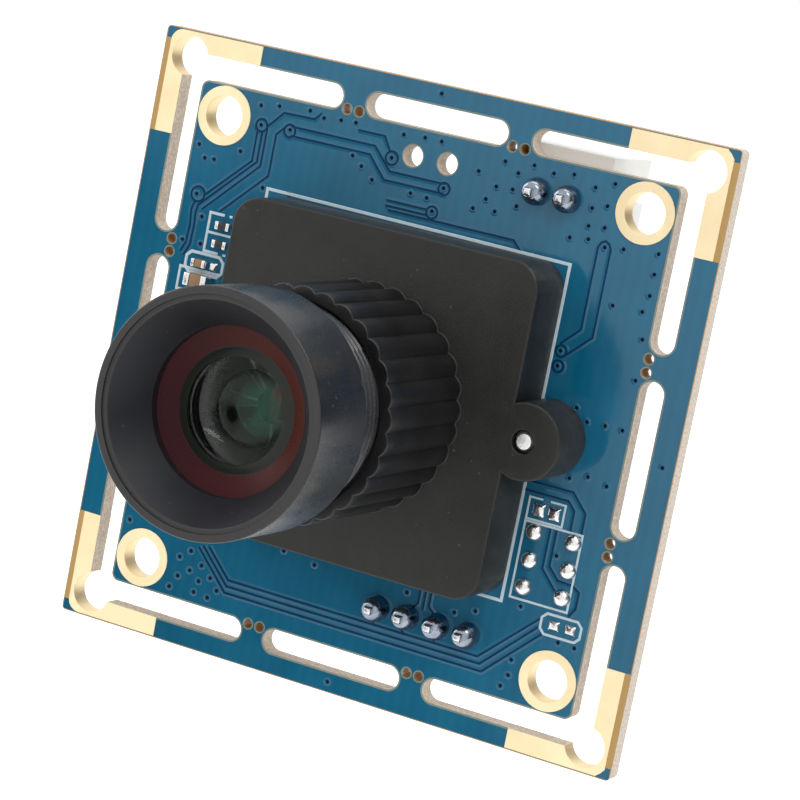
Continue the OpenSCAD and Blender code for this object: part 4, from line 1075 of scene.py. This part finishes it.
studio = {
    "floorHeight": -55.0, "floorHalf": 3000.0, "floorFront": -100.0,
    "floorColour": (0.9, 0.9, 0.9, 1), "floorRough": 0.9, "floorGlow": 0.62,
    "worldDiffuse": 0.6, "worldSeen": 1.0, "glossBright": 1.2,
    # dark parts of the room, as (middle, cosine at the rim, cosine where it is darkest, level)
    "darkParts": [((-0.5, -0.83, -0.25), 0.977, 0.987, 0.12),
                  ((0.85, 0.45, -0.1), 0.3, 0.7, 0.12)],
    # name: (place, size, watts)
    "lamps": {
        "keyLight": ((0.35, -0.4, 0.6), 0.4, 1.4),
        "lowLight": ((-0.3, -0.3, -0.3), 0.25, 0.8),
        "sideLight": ((-0.7, -0.25, 0.3), 0.5, 1.4),
        "topLight": ((0.0, 0.1, 0.8), 0.6, 1.2),
        "rightLight": ((0.6, -0.05, 0.1), 0.4, 0.6),
    },
}


# rays that reach the room by a mirror or through glass
def indirectRays(tree, path):
    return mathNode(tree, "MAXIMUM", path["Is Glossy Ray"], path["Is Transmission Ray"])


def makeFloor():
    s = studio
    half, height, front = s["floorHalf"] * mm, s["floorHeight"] * mm, s["floorFront"] * mm
    mesh = bpy.data.meshes.new("floor")
    mesh.from_pydata([(-half, front, height), (half, front, height), (half, half, height),
                      (-half, half, height)], [], [(0, 1, 2, 3)])
    floor = newObject("floor", mesh)
    material = bpy.data.materials.new("floorPaper")
    material.use_nodes = True
    tree = material.node_tree
    shader = tree.nodes["Principled BSDF"]
    shader.inputs["Base Color"].default_value = s["floorColour"]
    shader.inputs["Roughness"].default_value = s["floorRough"]
    path = addNode(tree, "ShaderNodeLightPath").outputs
    seen = mathNode(tree, "MAXIMUM", path["Is Camera Ray"], indirectRays(tree, path))
    glow = addNode(tree, "ShaderNodeEmission", {"Strength": product(tree, seen, s["floorGlow"])})
    both = addNode(tree, "ShaderNodeAddShader", {0: shader.outputs[0], 1: glow.outputs[0]})
    tree.links.new(both.outputs[0], tree.nodes["Material Output"].inputs["Surface"])
    mesh.materials.append(material)


def makeLamps():
    for name, (place, size, watts) in studio["lamps"].items():
        lamp = bpy.data.lights.new(name, "AREA")
        lamp.shape, lamp.size, lamp.energy = "DISK", size, watts
        lampObject = newObject(name, lamp)
        turn = (-Vector(place)).to_track_quat("-Z", "Y").to_matrix().to_4x4()
        lampObject.matrix_world = Matrix.Translation(Vector(place)) @ turn
        lampObject.visible_glossy = name != "rightLight"
        lampObject.visible_transmission = False  # the glass is lit by the room alone


def makeWorld():
    s = studio
    world = bpy.data.worlds.new("studio")
    bpy.context.scene.world = world
    world.use_nodes = True
    tree = world.node_tree
    path = addNode(tree, "ShaderNodeLightPath").outputs
    direction = addNode(tree, "ShaderNodeTexCoord").outputs["Generated"]
    mirrored = s["glossBright"]
    for middle, rim, core, level in s["darkParts"]:
        towards = addNode(tree, "ShaderNodeVectorMath", {
            0: direction, 1: Vector(middle).normalized()}, operation="DOT_PRODUCT")
        shade = mapRange(tree, towards.outputs["Value"], rim, core, 1.0, level)
        mirrored = product(tree, mirrored, shade)
    strength = mixValue(tree, indirectRays(tree, path), s["worldDiffuse"], mirrored)
    strength = mixValue(tree, path["Is Camera Ray"], strength, s["worldSeen"])
    tree.links.new(strength, tree.nodes["Background"].inputs["Strength"])
    tree.nodes["Background"].inputs["Color"].default_value = (1, 1, 1, 1)


makeFloor()
makeLamps()
makeWorld()
makeCamera()
bpy.context.scene.view_settings.view_transform = "Standard"
print("studio and camera placed")
